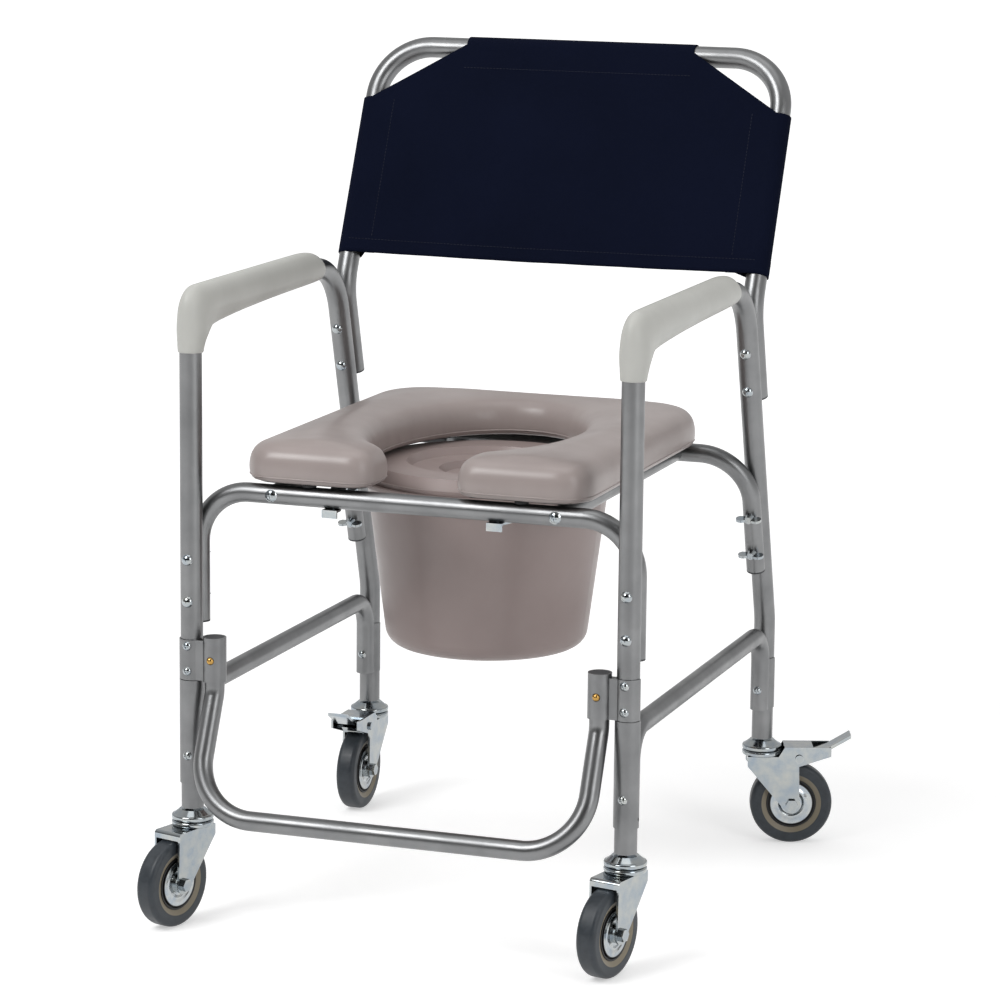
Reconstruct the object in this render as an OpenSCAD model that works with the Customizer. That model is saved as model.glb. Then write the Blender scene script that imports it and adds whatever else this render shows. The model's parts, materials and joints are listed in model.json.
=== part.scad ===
// Shower commode chair on four swivel casters, in millimetres.
// The origin is on the floor, midway between the four legs. +Z is up and the chair faces -Y.

/* [Frame] */
// Distance between the left and right leg centres
leg_spacing = 516; // [500:2:540]
// Distance between the front and rear leg centres at the floor
wheelbase = 548; // [530:2:580]
// Outside diameter of the side frames and the backrest tube
leg_tube_d = 25.4; // [24:0.2:27]
// Outside diameter of the crossbars, seat rails, stretchers and footrest
bar_tube_d = 22.2; // [20:0.2:24]
// Wall thickness of every tube
tube_wall = 1.6; // [1.2:0.1:2]
// Height of the centre line of the arms
arm_z = 702; // [680:1:730]
// Height where the rear legs turn upright
kink_z = 281; // [278:1:290]
// Lean of the rear legs above the kink, in degrees
rear_lean = 16.5; // [15:0.5:18]
// Bend radius at the front of the arms
arm_front_r = 50; // [46:1:56]
// Bend radius at the back of the arms
arm_rear_r = 80; // [70:1:86]
// Bend radius of the kinks in the rear legs and the backrest
kink_r = 60; // [40:1:70]

/* [Crossbars and seat rails] */
// Height of the centre lines of the crossbars and the seat rails
bar_z = 494; // [486:1:504]
// Length of the turned-down ends of the crossbars, from their centre line
bar_drop = 150; // [140:1:160]
// Bend radius of the crossbars
bar_bend_r = 60; // [45:1:66]
// Height of the lower crossbar bolt above the end of the bar
bar_bolt_low = 26.5; // [20:0.5:30]
// Distance between the two bolts at each end of a crossbar
bar_bolt_pitch = 48; // [40:0.5:54]
// Distance between the centre lines of the seat rails
rail_spacing = 334; // [326:2:344]

/* [Lower frame] */
// Height of the centre line of the stretchers
stretcher_z = 265; // [255:1:268]
// Bend radius at both ends of the stretchers
stretcher_r = 35; // [30:1:40]
// Outside diameter of the sleeves and saddles on the legs
sleeve_d = 28.4; // [28:0.2:30]
// Height of the lower end of the front sleeves
sleeve_low_z = 160; // [154:1:170]
// Length of the front sleeves
sleeve_len = 120; // [110:1:120]
// Height of the lower end of the rear saddles
saddle_low_z = 170; // [160:1:180]
// Length of the rear saddles
saddle_len = 62; // [50:1:70]

/* [Backrest] */
// Recline of the backrest from upright, in degrees
back_recline = 25; // [22:0.5:28]
// Depth of the kink in the backrest tube below the centre line of the arms
back_kink_drop = 31; // [24:1:40]
// Length of the backrest tube from its kink to its top bar
back_len = 312; // [290:1:340]
// Bend radius at the top corners of the backrest
back_corner_r = 65; // [50:1:75]
// Length of the backrest tube below its kink
back_tail_len = 112; // [104:1:120]
// Distance from the kink to the lower edge of the sling
sling_low = 40; // [34:1:60]
// Length of the side sleeves of the sling
sling_side_len = 200; // [180:1:205]
// Width of the sling along the top bar
sling_top_w = 290; // [240:2:320]

/* [Seat] */
// Width of the seat
seat_w = 408; // [396:2:430]
// Distance of the front edge of the seat from the centre of the chair
seat_front = 268; // [260:1:280]
// Distance of the rear edge of the seat from the centre of the chair
seat_rear = 206; // [200:1:214]
// Thickness of the padding at its crown
pad_h = 49; // [42:1:56]
// Thickness of the seat board
board_t = 6; // [5:0.5:8]
// Half the width of the oval opening
opening_r = 112; // [108:1:116]
// Half the length of the opening, which runs out into the mouth at the front
opening_len = 178; // [172:1:190]
// Distance of the middle of the opening in front of the centre of the chair
opening_front = 42; // [36:1:46]
// Width of the mouth of the opening at the front
mouth_w = 96; // [86:1:104]

/* [Bucket] */
// Clearance between the rim of the bucket and the seat rails
rim_gap = 1.9; // [1:0.1:4]
// Width of the rim of the bucket
rim_w = 13; // [10:0.5:16]
// How much smaller the radius of the bucket is at its base than under its rim
bucket_draw = 25; // [18:1:32]
// Depth of the bucket
bucket_depth = 194; // [170:1:210]
// Wall thickness of the bucket and the lid
bucket_wall = 2.6; // [2:0.1:3.2]
// Distance of the bucket in front of the centre of the chair
bucket_front = 10; // [6:1:16]

/* [Footrest] */
// Distance between the two sides of the footrest
foot_spacing = 455; // [452:1:456]
// Distance of the sockets in front of the front legs
socket_front = 6; // [4:0.5:8]
// Outside diameter of the sockets
socket_d = 26.6; // [26.4:0.1:28]
// Height of the lower end of the brackets and sockets
socket_low_z = 281; // [280:0.5:290]
// Length of the sockets
socket_len = 51; // [46:1:60]
// Height of the clamp on the leg
clamp_len = 46; // [40:1:50]
// Height where the sides of the footrest turn forward
foot_kink_z = 268; // [262:1:272]
// Height of the foot bar
foot_bar_z = 140; // [130:1:160]
// Distance of the foot bar in front of the sockets
foot_reach = 59; // [50:1:70]
// Bend radius of the corners of the footrest
foot_corner_r = 68; // [55:1:75]
// Bend radius of the kinks in the footrest
foot_kink_r = 30; // [25:1:34]
// Diameter of the snap buttons
button_d = 8.6; // [7:0.2:10]

/* [Casters] */
// Diameter of the wheels
wheel_d = 100; // [95:1:105]
// Width of the tyres
tyre_w = 24; // [22:1:25]
// Outside diameter of the hubs, inside the tyres
hub_d = 60; // [56:1:64]
// Distance from the swivel axis to the axle
trail = 37; // [34:1:40]
// Gap between the fork cheeks
fork_gap = 32; // [30:1:36]
// Thickness of the fork cheeks
cheek_t = 2.5; // [2:0.1:3]
// Diameter of the axles
axle_d = 8; // [6:0.5:10]
// Diameter of the swivel discs
disc_d = 48; // [42:1:52]
// Heading of the front left caster, from +X towards +Y, in degrees
front_left_angle = -106; // [-180:1:180]
// Heading of the front right caster, in degrees
front_right_angle = -102.5; // [-180:0.5:180]
// Heading of the rear left caster, in degrees
rear_left_angle = -90; // [-180:1:180]
// Heading of the rear right caster, in degrees
rear_right_angle = 20; // [-180:1:180]

/* [Hidden] */
$fn = 64;

// Colours
aluminium = [0.74, 0.75, 0.77];
zinc = [0.6, 0.64, 0.7];
brass = [0.72, 0.53, 0.26];
dark = [0.2, 0.21, 0.23];
arm_grey = [0.74, 0.74, 0.71];
seat_grey = [0.65, 0.62, 0.61];
bucket_grey = [0.58, 0.53, 0.51];
navy = [0.06, 0.08, 0.16];
tyre_grey = [0.28, 0.3, 0.33];
hub_grey = [0.5, 0.52, 0.54];

// Fits and allowances
overrun = 1;
tube_gap = 0.2;
seat_gap = 0.3;
bolt_clear = 0.2;
plug_fit = 0.1;
running_fit = 0.05;
bend_lap = 0.6;
bend_thinning = 0.03;

// Fasteners
bolt_d = 6;
bolt_head_d = 13;
bolt_head_h = 4;
nut_d = 11.5;
nut_h = 5;
bolt_tail = 4;
wing_hub_d = 11;
wing_tip_d = 8.5;
wing_h = 9;
wing_d = 13;
wing_t = 3;
wing_reach = 9;
screw_d = 4.8;
screw_head_d = 10.5;
screw_head_h = 3.2;
rail_screw_head_d = 14;
cross_w = 1.6;
cross_len_share = 0.55;
cross_depth = 1.8;

// Frame places
half_space = leg_spacing / 2;
half_base = wheelbase / 2;
leg_r = leg_tube_d / 2;
bar_r = bar_tube_d / 2;
bar_bore_d = bar_tube_d - 2 * tube_wall;
leg_bore_d = leg_tube_d - 2 * tube_wall;
arm_rear_y = half_base - (arm_z - kink_z) * tan(rear_lean);
bar_offset = leg_r + bar_r + tube_gap;
bar_y = bar_offset - half_base;
rear_bar_along = (bar_z - kink_z + bar_offset * sin(rear_lean)) / cos(rear_lean);
rear_bar_y = half_base - bar_offset * cos(rear_lean) - rear_bar_along * sin(rear_lean);
rail_x = rail_spacing / 2;
rail_plug_len = 22;
plug_depth = 18;
cap_t = 2;

// Lower frame places
stretcher_front_offset = 11;
stretcher_rear_offset = 15.7;
stretcher_front_end_z = 218;
sleeve_screw_up = 33;
saddle_screw_up = 25;
drain_up = 10;
drain_d = 4;

// Backrest places
back_kink_z = arm_z - back_kink_drop;
back_offset = leg_tube_d + tube_gap;
back_along = (back_kink_z - kink_z - back_offset * sin(rear_lean)) / cos(rear_lean);
back_kink_y = half_base + back_offset * cos(rear_lean) - back_along * sin(rear_lean);
back_bolt_low = 21;
back_bolt_pitch = 49;
sling_t = 2;
sling_seam = 0.1;

// Arm cover sections
pad_fit = 0.5;
pad_edge = 1.4;
pad_half_w = 18;
pad_over = 25;
pad_under = 17;
pad_corner = 38;
pad_corner_angle = 45;
pad_gusset = 28;
pad_gusset_len = 20;
pad_round = 60;
pad_sides = 24;
pad_bend_steps = 12;
pad_end_steps = 5;
pad_ramp_angle = 34;

// Seat places
seat_drop = 14;
seat_corner_r = 70;
seat_front_r = 38;
mouth_r = 26;
board_inset = 12;
clip_w = 30;
clip_gap = 4.9;
clip_spacing = rail_spacing - bar_tube_d - clip_w - 2 * clip_gap;
clip_mouth_angle = 52;
clip_block_w = 20;
bumper_spacing = 250;
bumper_d = 16;
pad_inset_shares = [0.14, 0.03, 0, 0.04, 0.14, 0.32, 0.6, 1];
pad_height_shares = [0, 0.1, 0.36, 0.58, 0.75, 0.88, 0.96, 1];
pad_soft_w = 30;
pad_crown = 3;
corner_steps = 7;
edge_steps = 6;
front_steps = 6;

// Bucket, lid and hangers
rim_r = rail_x - bar_r - rim_gap;
bucket_top_r = rim_r - rim_w;
bucket_base_r = bucket_top_r - bucket_draw;
hanger_w = 18;
hanger_t = 2.5;
hanger_clip_gap = 15;
hanger_gap = 2;
hanger_x = (clip_spacing - clip_w - hanger_w) / 2 - hanger_clip_gap;
hanger_wide_x = bucket_top_r + hanger_gap + hanger_w / 2;
hanger_half_len = 80;
hanger_tab_h = 9;
hanger_nose = 9;
rim_h = 4;
bucket_round = 20;
lid_lip_h = 5;
lid_h = 17;
lid_inset = 7;
lid_ring_w = 40;
lid_dish_depth = 9;
lid_step_w = 38;
lid_well_depth = 8;
lid_draft = 6;
lid_shoulder = 12;
grip_w = 24;

// Footrest places
foot_x = foot_spacing / 2;
socket_y = -half_base - socket_front;
socket_fit = 0.15;
socket_plug_drop = 2;
clamp_screw_low = 10;
clamp_screw_pitch = 29;
web_t = 11;
button_up = 25.5;
button_proud = 3;
button_flange_d = 11;
button_flange_t = 1.4;
button_tail = 2;

// Caster places
crown_clear = 7;
crown_t = 3;
race_h = 6.5;
race_gap = 0.5;
head_h = 6.5;
collar_h = 7.5;
collar_d = 22;
cone_top_d = 30;
cone_h_share = 0.7;
disc_round = 2.5;
stem_len = 34;
kingpin_d = 10;
rivet_d = 15;
rivet_h = 3;
axle_z = wheel_d / 2;
crown_z = wheel_d + crown_clear;
leg_foot_z = crown_z + crown_t + race_h + race_gap + head_h + collar_h;
cheek_back = 18;
cheek_front = 36;
cheek_boss_r = 11;
cheek_round = 9;
apron_r = 4;
apron_clear = 1.5;
axle_head_d = 15;
axle_head_h = 5;
hub_disc_d = 53;
hub_rim_h = 20;
hub_disc_h = 22;
hub_boss_d = 20;
hub_groove = 4;
hub_play = 0.5;
tyre_round = 6;
tyre_bevel_d = 74;
tyre_bevel = 3;
horn_len = 84;
horn_h = 15;
horn_cover_len = 62;
horn_nose_h = 11;
brake_pin_d = 5;
brake_x = 45;
brake_up = 8;
brake_boss_r = 6;
pedal_w = 26;
pedal_t = 4;
pedal_mid = [36, 13];
pedal_tip = [63, 29];
toe_reach = 9;
toe_drop = 5.5;
toe_r = 3;
caster_sides = [-1, 1, -1, 1];
caster_rows = [-1, -1, 1, 1];
caster_angles = [front_left_angle, front_right_angle, rear_left_angle, rear_right_angle];

// Bent tubes. Each step is a straight length, a bend radius, a bend angle and a roll: after the roll
// it runs along local Z, bends towards local +X and hands its end on to the next step. A bend is
// drawn a little thinner, as a bent tube is, and its ends lie inside the straight runs.
function setback(r, angle) = r * tan(angle / 2);

module tube_section(d, thinned) {
    difference() {
        circle(d = d - 2 * thinned);
        circle(d = d - 2 * tube_wall + 2 * thinned);
    }
}

module bent_tube(steps, d, i = 0, thinned = bend_thinning) {
    length = steps[i][0];
    r = steps[i][1];
    angle = steps[i][2];
    lap = thinned > 0 ? bend_lap : 0;
    start = i > 0 ? lap : 0;
    end = angle > 0 ? lap : 0;
    rotate(steps[i][3]) {
        translate([0, 0, -start]) linear_extrude(start + length + end) tube_section(d, 0);
        if (angle > 0)
            translate([r, 0, length]) {
                rotate([90, 0, 180])
                    rotate_extrude(angle = angle) translate([r, 0]) tube_section(d, thinned);
                rotate([0, angle, 0]) translate([-r, 0, 0]) bent_tube(steps, d, i + 1, thinned);
            }
    }
}

// Arc of n steps about c, as a list of points
function arc(c, r, from, to, n) =
    [for (i = [0 : n]) c + r * [cos(from + (to - from) * i / n), sin(from + (to - from) * i / n)]];

// Faces between stacked rings of n points, and the two caps
function wall_faces(rings, n, first) =
    [for (r = [0 : rings - 2], i = [0 : n - 1])
        let (a = first + r * n + i, b = first + r * n + (i + 1) % n)
            each [[a, a + n, b + n], [a, b + n, b]]];
function flip(faces) = [for (f = faces) [f[2], f[1], f[0]]];

// Places on the frame. On a leaning leg, local Z runs up the leg and local -Y is its front.
module on_rear_leg(x, along) {
    translate([x, half_base, kink_z]) rotate([rear_lean, 0, 0]) translate([0, 0, along]) children();
}

module on_backrest() {
    translate([0, back_kink_y, back_kink_z]) rotate([-back_recline, 0, 0]) children();
}

module front_bolt_places(side) {
    for (i = [0, 1])
        translate([side * half_space, -half_base, bar_z - bar_drop + bar_bolt_low + i * bar_bolt_pitch])
            rotate([-90, 0, 0]) children();
}

module wing_bolt_places(side) {
    for (i = [0, 1])
        on_rear_leg(side * half_space, rear_bar_along - bar_drop + bar_bolt_low + i * bar_bolt_pitch)
            rotate([90, 0, 0]) children();
}

module back_bolt_places(side) {
    for (i = [0, 1])
        on_rear_leg(side * half_space, back_along - back_tail_len + back_bolt_low + i * back_bolt_pitch)
            rotate([-90, 0, 0]) children();
}

module clamp_screw_places(side) {
    for (i = [0, 1])
        translate([side * half_space, -half_base, socket_low_z + clamp_screw_low + i * clamp_screw_pitch])
            rotate([-90, 0, 0]) children();
}

module sleeve_screw_place(side) {
    translate([side * half_space, -half_base, sleeve_low_z + sleeve_screw_up])
        rotate([-90, 0, 0]) children();
}

module saddle_screw_place(side) {
    translate([side * half_space, half_base, saddle_low_z + saddle_screw_up])
        rotate([-90, 0, 0]) children();
}

module front_rail_screw_places() {
    for (side = [-1, 1]) translate([side * rail_x, bar_y, bar_z]) rotate([-90, 0, 0]) children();
}

module rear_rail_screw_places() {
    for (side = [-1, 1]) translate([side * rail_x, rear_bar_y, bar_z]) rotate([90, 0, 0]) children();
}

module hanger_screw_places(y) {
    for (side = [-1, 1]) translate([side * hanger_x, y, bar_z]) children();
}

// Fasteners. Each stands on its axis, local Z, with its head towards -Z.
module dome(d, h) {
    r = (h * h + d * d / 4) / (2 * h);
    rotate_extrude()
        intersection() {
            translate([0, r - h]) circle(r = r);
            translate([0, -h]) square([d / 2, h]);
        }
}

module leg_bolt(other_d) {
    translate([0, 0, -leg_r]) {
        dome(bolt_head_d, bolt_head_h);
        cylinder(d = bolt_d, h = leg_tube_d + tube_gap + other_d + nut_h + bolt_tail);
    }
}

module leg_bolt_hole(other_d) {
    translate([0, 0, -leg_r - overrun])
        cylinder(d = bolt_d + 2 * bolt_clear, h = leg_tube_d + tube_gap + other_d + 2 * overrun);
}

module leg_nut(other_d) {
    translate([0, 0, leg_r + tube_gap + other_d])
        difference() {
            cylinder(d = nut_d, h = nut_h, $fn = 6);
            translate([0, 0, -overrun]) cylinder(d = bolt_d + 2 * bolt_clear, h = nut_h + 2 * overrun);
        }
}

module wing_nut(other_d) {
    translate([0, 0, leg_r + tube_gap + other_d])
        difference() {
            union() {
                cylinder(d1 = wing_hub_d, d2 = wing_tip_d, h = wing_h);
                for (side = [-1, 1])
                    translate([side * wing_reach, wing_t / 2, wing_h - wing_t])
                        rotate([90, 0, 0]) cylinder(d = wing_d, h = wing_t);
            }
            translate([0, 0, -overrun])
                cylinder(d = bolt_d + 2 * bolt_clear, h = wing_h + 2 * overrun);
            translate([0, 0, -wing_h]) cylinder(d = 4 * wing_d, h = wing_h);
        }
}

// A cross-recessed screw whose head seats at local z = -seat and whose shank is len long
module screw(seat, len, head_d = screw_head_d) {
    cross_l = cross_len_share * head_d;
    translate([0, 0, -seat])
        difference() {
            union() {
                dome(head_d, screw_head_h);
                cylinder(d = screw_d, h = len);
            }
            for (turn = [0, 90])
                rotate(turn)
                    translate([-cross_l / 2, -cross_w / 2, -screw_head_h - overrun])
                        cube([cross_l, cross_w, overrun + cross_depth]);
        }
}

module screw_hole(seat, len) {
    translate([0, 0, -seat - overrun]) cylinder(d = screw_d + 2 * bolt_clear, h = len + overrun);
}

// Side frames: front leg, arm, leaning rear leg and upright foot
side_steps = [
    [arm_z - leg_foot_z - arm_front_r, arm_front_r, 90, 0],
    [arm_rear_y + half_base - arm_front_r - setback(arm_rear_r, 90 - rear_lean),
        arm_rear_r, 90 - rear_lean, 0],
    [(arm_z - kink_z) / cos(rear_lean) - setback(arm_rear_r, 90 - rear_lean) - setback(kink_r, rear_lean),
        kink_r, rear_lean, 0],
    [kink_z - leg_foot_z - setback(kink_r, rear_lean), 0, 0, 0]];

module side_frame(side) {
    color(aluminium)
        difference() {
            translate([side * half_space, -half_base, leg_foot_z])
                rotate(90) bent_tube(side_steps, leg_tube_d);
            front_bolt_places(side) leg_bolt_hole(bar_tube_d);
            wing_bolt_places(side) leg_bolt_hole(bar_tube_d);
            back_bolt_places(side) leg_bolt_hole(leg_tube_d);
            clamp_screw_places(side) screw_hole(leg_r, leg_r);
            sleeve_screw_place(side) screw_hole(leg_r, leg_r);
            saddle_screw_place(side) screw_hole(leg_r, leg_r);
        }
}

// Sleeve on the front leg, stretcher, and saddle on the front of the rear leg, welded in one
module lower_frame(side) {
    x = side * half_space;
    front_y = stretcher_front_offset - half_base;
    rear_y = half_base - stretcher_rear_offset;
    color(aluminium)
        difference() {
            union() {
                translate([x, -half_base, sleeve_low_z]) cylinder(d = sleeve_d, h = sleeve_len);
                intersection() {
                    translate([x, half_base, saddle_low_z]) cylinder(d = sleeve_d, h = saddle_len);
                    translate([x - sleeve_d, half_base - sleeve_d, saddle_low_z])
                        cube([2 * sleeve_d, sleeve_d, saddle_len]);
                }
                translate([x, front_y, stretcher_front_end_z])
                    rotate(90)
                        bent_tube([[stretcher_z - stretcher_front_end_z - stretcher_r, stretcher_r, 90, 0],
                            [rear_y - front_y - 2 * stretcher_r, stretcher_r, 90, 0],
                            [stretcher_z - saddle_low_z - stretcher_r, 0, 0, 0]], bar_tube_d, thinned = 0);
            }
            for (row = [-1, 1])
                translate([x, row * half_base, leg_foot_z])
                    cylinder(d = leg_tube_d + 2 * tube_gap, h = kink_z - leg_foot_z + overrun);
            sleeve_screw_place(side) screw_hole(sleeve_d, sleeve_d);
            saddle_screw_place(side) screw_hole(bar_tube_d + bar_r, bar_tube_d + bar_r);
            translate([x, -half_base, sleeve_low_z + drain_up])
                rotate([0, side * 90, 0]) cylinder(d = drain_d, h = sleeve_d);
        }
}

module leg_screws() {
    color(zinc)
        for (side = [-1, 1]) {
            sleeve_screw_place(side) screw(sleeve_d / 2, sleeve_d / 2);
            saddle_screw_place(side)
                screw(stretcher_rear_offset + bar_r, stretcher_rear_offset + bar_r);
        }
}

// Arm cover: half-ellipse sections swept round the front bend and along the arm
function pad_ramp(angle) = let (t = min(1, angle / pad_ramp_angle)) t * t * (3 - 2 * t);
function pad_end(t) = sqrt(1 - t * t);
function blend(a, b, t) = a + (b - a) * t;
pad_bore_r = (leg_r + pad_fit) / cos(180 / pad_sides);
pad_rim_r = pad_bore_r + pad_edge;
pad_end_y = arm_rear_y - arm_rear_r * tan((90 - rear_lean) / 2);

// Outer reach round the bend: a flat front, a blunt corner and a flat top
function pad_reach(a) =
    min((arm_front_r + pad_corner) / cos(a - pad_corner_angle),
        a < pad_corner_angle ? (arm_front_r + pad_rim_r) / cos(a) : (arm_front_r + pad_over) / sin(a))
    - arm_front_r;

// Each station is its centre (y, z), its outward angle, half width, outer and inner reach
pad_stations = concat(
    [for (i = [0 : pad_bend_steps])
        let (a = 90 * i / pad_bend_steps, g = pad_ramp(a))
            [[arm_front_r - half_base - arm_front_r * cos(a), arm_z - arm_front_r + arm_front_r * sin(a)],
                a, blend(pad_rim_r, pad_half_w, g), pad_reach(a), blend(pad_rim_r, pad_gusset, g)]],
    [[[arm_front_r - half_base + pad_gusset_len, arm_z], 90, pad_half_w, pad_over, pad_under]],
    [for (i = [0 : pad_end_steps])
        let (t = i / pad_end_steps, g = pad_end(t))
            [[pad_end_y - pad_round * (1 - t), arm_z], 90, blend(pad_rim_r, pad_half_w, g),
                blend(pad_rim_r, pad_over, g), blend(pad_rim_r, pad_under, g)]]);

function pad_point(x, s, across, out) =
    [x - across, s[0].x - out * cos(s[1]), s[0].y + out * sin(s[1])];

module arm_pad(side) {
    x = side * half_space;
    n = pad_sides;
    rings = len(pad_stations);
    angles = [for (i = [0 : n - 1]) 360 * i / n];
    outer = [for (s = pad_stations, t = angles)
        pad_point(x, s, s[2] * cos(t), (sin(t) > 0 ? s[3] : s[4]) * sin(t))];
    inner = [for (s = pad_stations, t = angles)
        pad_point(x, s, pad_bore_r * cos(t), pad_bore_r * sin(t))];
    first = rings * n;
    low_end = [for (i = [0 : n - 1]) let (b = (i + 1) % n)
        each [[i, b, first + b], [i, first + b, first + i]]];
    top = first - n;
    high_end = [for (f = low_end) [f[2] + top, f[1] + top, f[0] + top]];
    color(arm_grey)
        polyhedron(concat(outer, inner),
            concat(wall_faces(rings, n, 0), flip(wall_faces(rings, n, first)), low_end, high_end));
}

// Crossbars: the same bent tube, upright behind the front legs and leaning before the rear legs
module crossbar() {
    end_len = bar_drop - bar_bend_r;
    translate([-half_space, 0, -bar_drop])
        bent_tube([[end_len, bar_bend_r, 90, 0], [leg_spacing - 2 * bar_bend_r, bar_bend_r, 90, 0],
            [end_len, 0, 0, 0]], bar_tube_d);
}

module hanger_screw_hole() {
    translate([0, 0, -bar_r - overrun]) cylinder(d = screw_d + 2 * bolt_clear, h = bar_r + overrun);
}

module front_crossbar() {
    color(aluminium)
        difference() {
            translate([0, bar_y, bar_z]) crossbar();
            for (side = [-1, 1]) front_bolt_places(side) leg_bolt_hole(bar_tube_d);
            front_rail_screw_places() screw_hole(bar_r, bar_tube_d + overrun);
            hanger_screw_places(bar_y) hanger_screw_hole();
        }
}

module rear_crossbar() {
    color(aluminium)
        difference() {
            on_rear_leg(0, rear_bar_along) translate([0, -bar_offset, 0]) crossbar();
            for (side = [-1, 1]) wing_bolt_places(side) leg_bolt_hole(bar_tube_d);
            rear_rail_screw_places() screw_hole(bar_r, bar_tube_d + overrun);
            hanger_screw_places(rear_bar_y) hanger_screw_hole();
        }
}

module crossbar_bolts() {
    color(zinc) for (side = [-1, 1]) front_bolt_places(side) leg_bolt(bar_tube_d);
}

module crossbar_nuts() {
    color(zinc) for (side = [-1, 1]) front_bolt_places(side) leg_nut(bar_tube_d);
}

module wing_bolts() {
    color(zinc) for (side = [-1, 1]) wing_bolt_places(side) leg_bolt(bar_tube_d);
}

module wing_nuts() {
    color(zinc) for (side = [-1, 1]) wing_bolt_places(side) wing_nut(bar_tube_d);
}

// Seat rails, notched round the crossbars, with plugs in their ends for the screws
module bar_bodies() {
    for (y = [bar_y, rear_bar_y])
        translate([-leg_spacing, y, bar_z])
            rotate([0, 90, 0]) cylinder(d = bar_tube_d + 2 * tube_gap, h = 2 * leg_spacing);
}

module seat_rail(side) {
    color(aluminium)
        difference() {
            translate([side * rail_x, bar_y, bar_z])
                rotate([-90, 0, 0]) linear_extrude(rear_bar_y - bar_y) tube_section(bar_tube_d, 0);
            bar_bodies();
        }
}

module rail_plug() {
    translate([0, 0, bar_r + 2 * tube_gap])
        difference() {
            cylinder(d = bar_bore_d - 2 * plug_fit, h = rail_plug_len);
            translate([0, 0, -overrun])
                cylinder(d = screw_d + 2 * bolt_clear, h = rail_plug_len + 2 * overrun);
        }
}

module rail_plugs() {
    color(dark) {
        front_rail_screw_places() rail_plug();
        rear_rail_screw_places() rail_plug();
    }
}

module rail_screws() {
    color(zinc) {
        front_rail_screw_places() screw(bar_r, bar_tube_d + rail_plug_len, rail_screw_head_d);
        rear_rail_screw_places() screw(bar_r, bar_tube_d + rail_plug_len, rail_screw_head_d);
    }
}

// Backrest tube: tails along the rear legs, a kink, reclined sides and the top bar
module backrest_tube() {
    kink_angle = rear_lean + back_recline;
    tail = [back_tail_len - setback(kink_r, kink_angle), kink_r, kink_angle, 0];
    side_len = back_len - setback(kink_r, kink_angle) - back_corner_r;
    color(aluminium)
        difference() {
            on_rear_leg(-half_space, back_along - back_tail_len)
                translate([0, back_offset, 0])
                    rotate(90)
                        bent_tube([tail, [side_len, back_corner_r, 90, -90],
                            [leg_spacing - 2 * back_corner_r, back_corner_r, 90, 0],
                            [side_len, kink_r, kink_angle, 90], [tail[0], 0, 0, 0]], leg_tube_d);
            for (side = [-1, 1]) back_bolt_places(side) leg_bolt_hole(leg_tube_d);
        }
}

module backrest_bolts() {
    color(zinc) for (side = [-1, 1]) back_bolt_places(side) leg_bolt(leg_tube_d);
}

module backrest_nuts() {
    color(zinc) for (side = [-1, 1]) back_bolt_places(side) leg_nut(leg_tube_d);
}

// Sling: a panel in front of the tubes, with sewn sleeves on the side tubes and the top bar
module sling_sleeve(len) {
    difference() {
        cylinder(r = leg_r + seat_gap + sling_t, h = len);
        translate([0, 0, -overrun]) cylinder(r = leg_r + seat_gap, h = len + 2 * overrun);
    }
}

module backrest_sling() {
    side_top = sling_low + sling_side_len;
    panel_y = -leg_r - seat_gap - sling_seam;
    color(navy)
        on_backrest() {
            for (side = [-1, 1])
                translate([side * half_space, 0, sling_low]) sling_sleeve(sling_side_len);
            translate([-sling_top_w / 2, 0, back_len]) rotate([0, 90, 0]) sling_sleeve(sling_top_w);
            translate([0, panel_y, 0])
                rotate([90, 0, 0])
                    linear_extrude(sling_t - 2 * sling_seam)
                        polygon([[-half_space, sling_low], [half_space, sling_low], [half_space, side_top],
                            [sling_top_w / 2, back_len], [-sling_top_w / 2, back_len],
                            [-half_space, side_top]]);
        }
}

// Plastic caps in the open ends of the crossbars and the backrest tube
module end_cap(d) {
    translate([0, 0, -cap_t]) cylinder(d = d, h = cap_t);
    cylinder(d = d - 2 * tube_wall - 2 * plug_fit, h = plug_depth);
}

module tube_end_caps() {
    color(dark)
        for (side = [-1, 1]) {
            translate([side * half_space, bar_y, bar_z - bar_drop]) end_cap(bar_tube_d);
            on_rear_leg(side * half_space, rear_bar_along - bar_drop)
                translate([0, -bar_offset, 0]) end_cap(bar_tube_d);
            on_rear_leg(side * half_space, back_along - back_tail_len)
                translate([0, back_offset, 0]) end_cap(leg_tube_d);
        }
}

// Footrest bracket: a half clamp on the front of the leg, a web and the socket
module footrest_bracket(side) {
    x = side * half_space;
    color(aluminium)
        difference() {
            union() {
                intersection() {
                    translate([x, -half_base, socket_low_z]) cylinder(d = sleeve_d, h = clamp_len);
                    translate([x - sleeve_d, -half_base - sleeve_d, socket_low_z])
                        cube([2 * sleeve_d, sleeve_d, clamp_len]);
                }
                translate([side * foot_x, socket_y, socket_low_z]) cylinder(d = socket_d, h = socket_len);
                translate([side * (foot_x + half_space) / 2 - (half_space - foot_x) / 2,
                    -half_base - web_t, socket_low_z])
                    cube([half_space - foot_x, web_t, clamp_len]);
            }
            translate([x, -half_base, socket_low_z - overrun])
                cylinder(d = leg_tube_d + 2 * tube_gap, h = clamp_len + 2 * overrun);
            translate([side * foot_x, socket_y, socket_low_z - overrun])
                cylinder(d = bar_tube_d + 2 * socket_fit, h = socket_len + 2 * overrun);
            clamp_screw_places(side) screw_hole(sleeve_d, sleeve_d);
            button_place(side) cylinder(d = button_d + 2 * seat_gap, h = socket_d);
        }
}

module bracket_screws() {
    color(zinc)
        for (side = [-1, 1]) clamp_screw_places(side) screw(sleeve_d / 2, sleeve_d / 2);
}

// Footrest, plugs in its upper ends, and the snap buttons through its sides
foot_top_z = socket_low_z + socket_len - socket_plug_drop;

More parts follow.
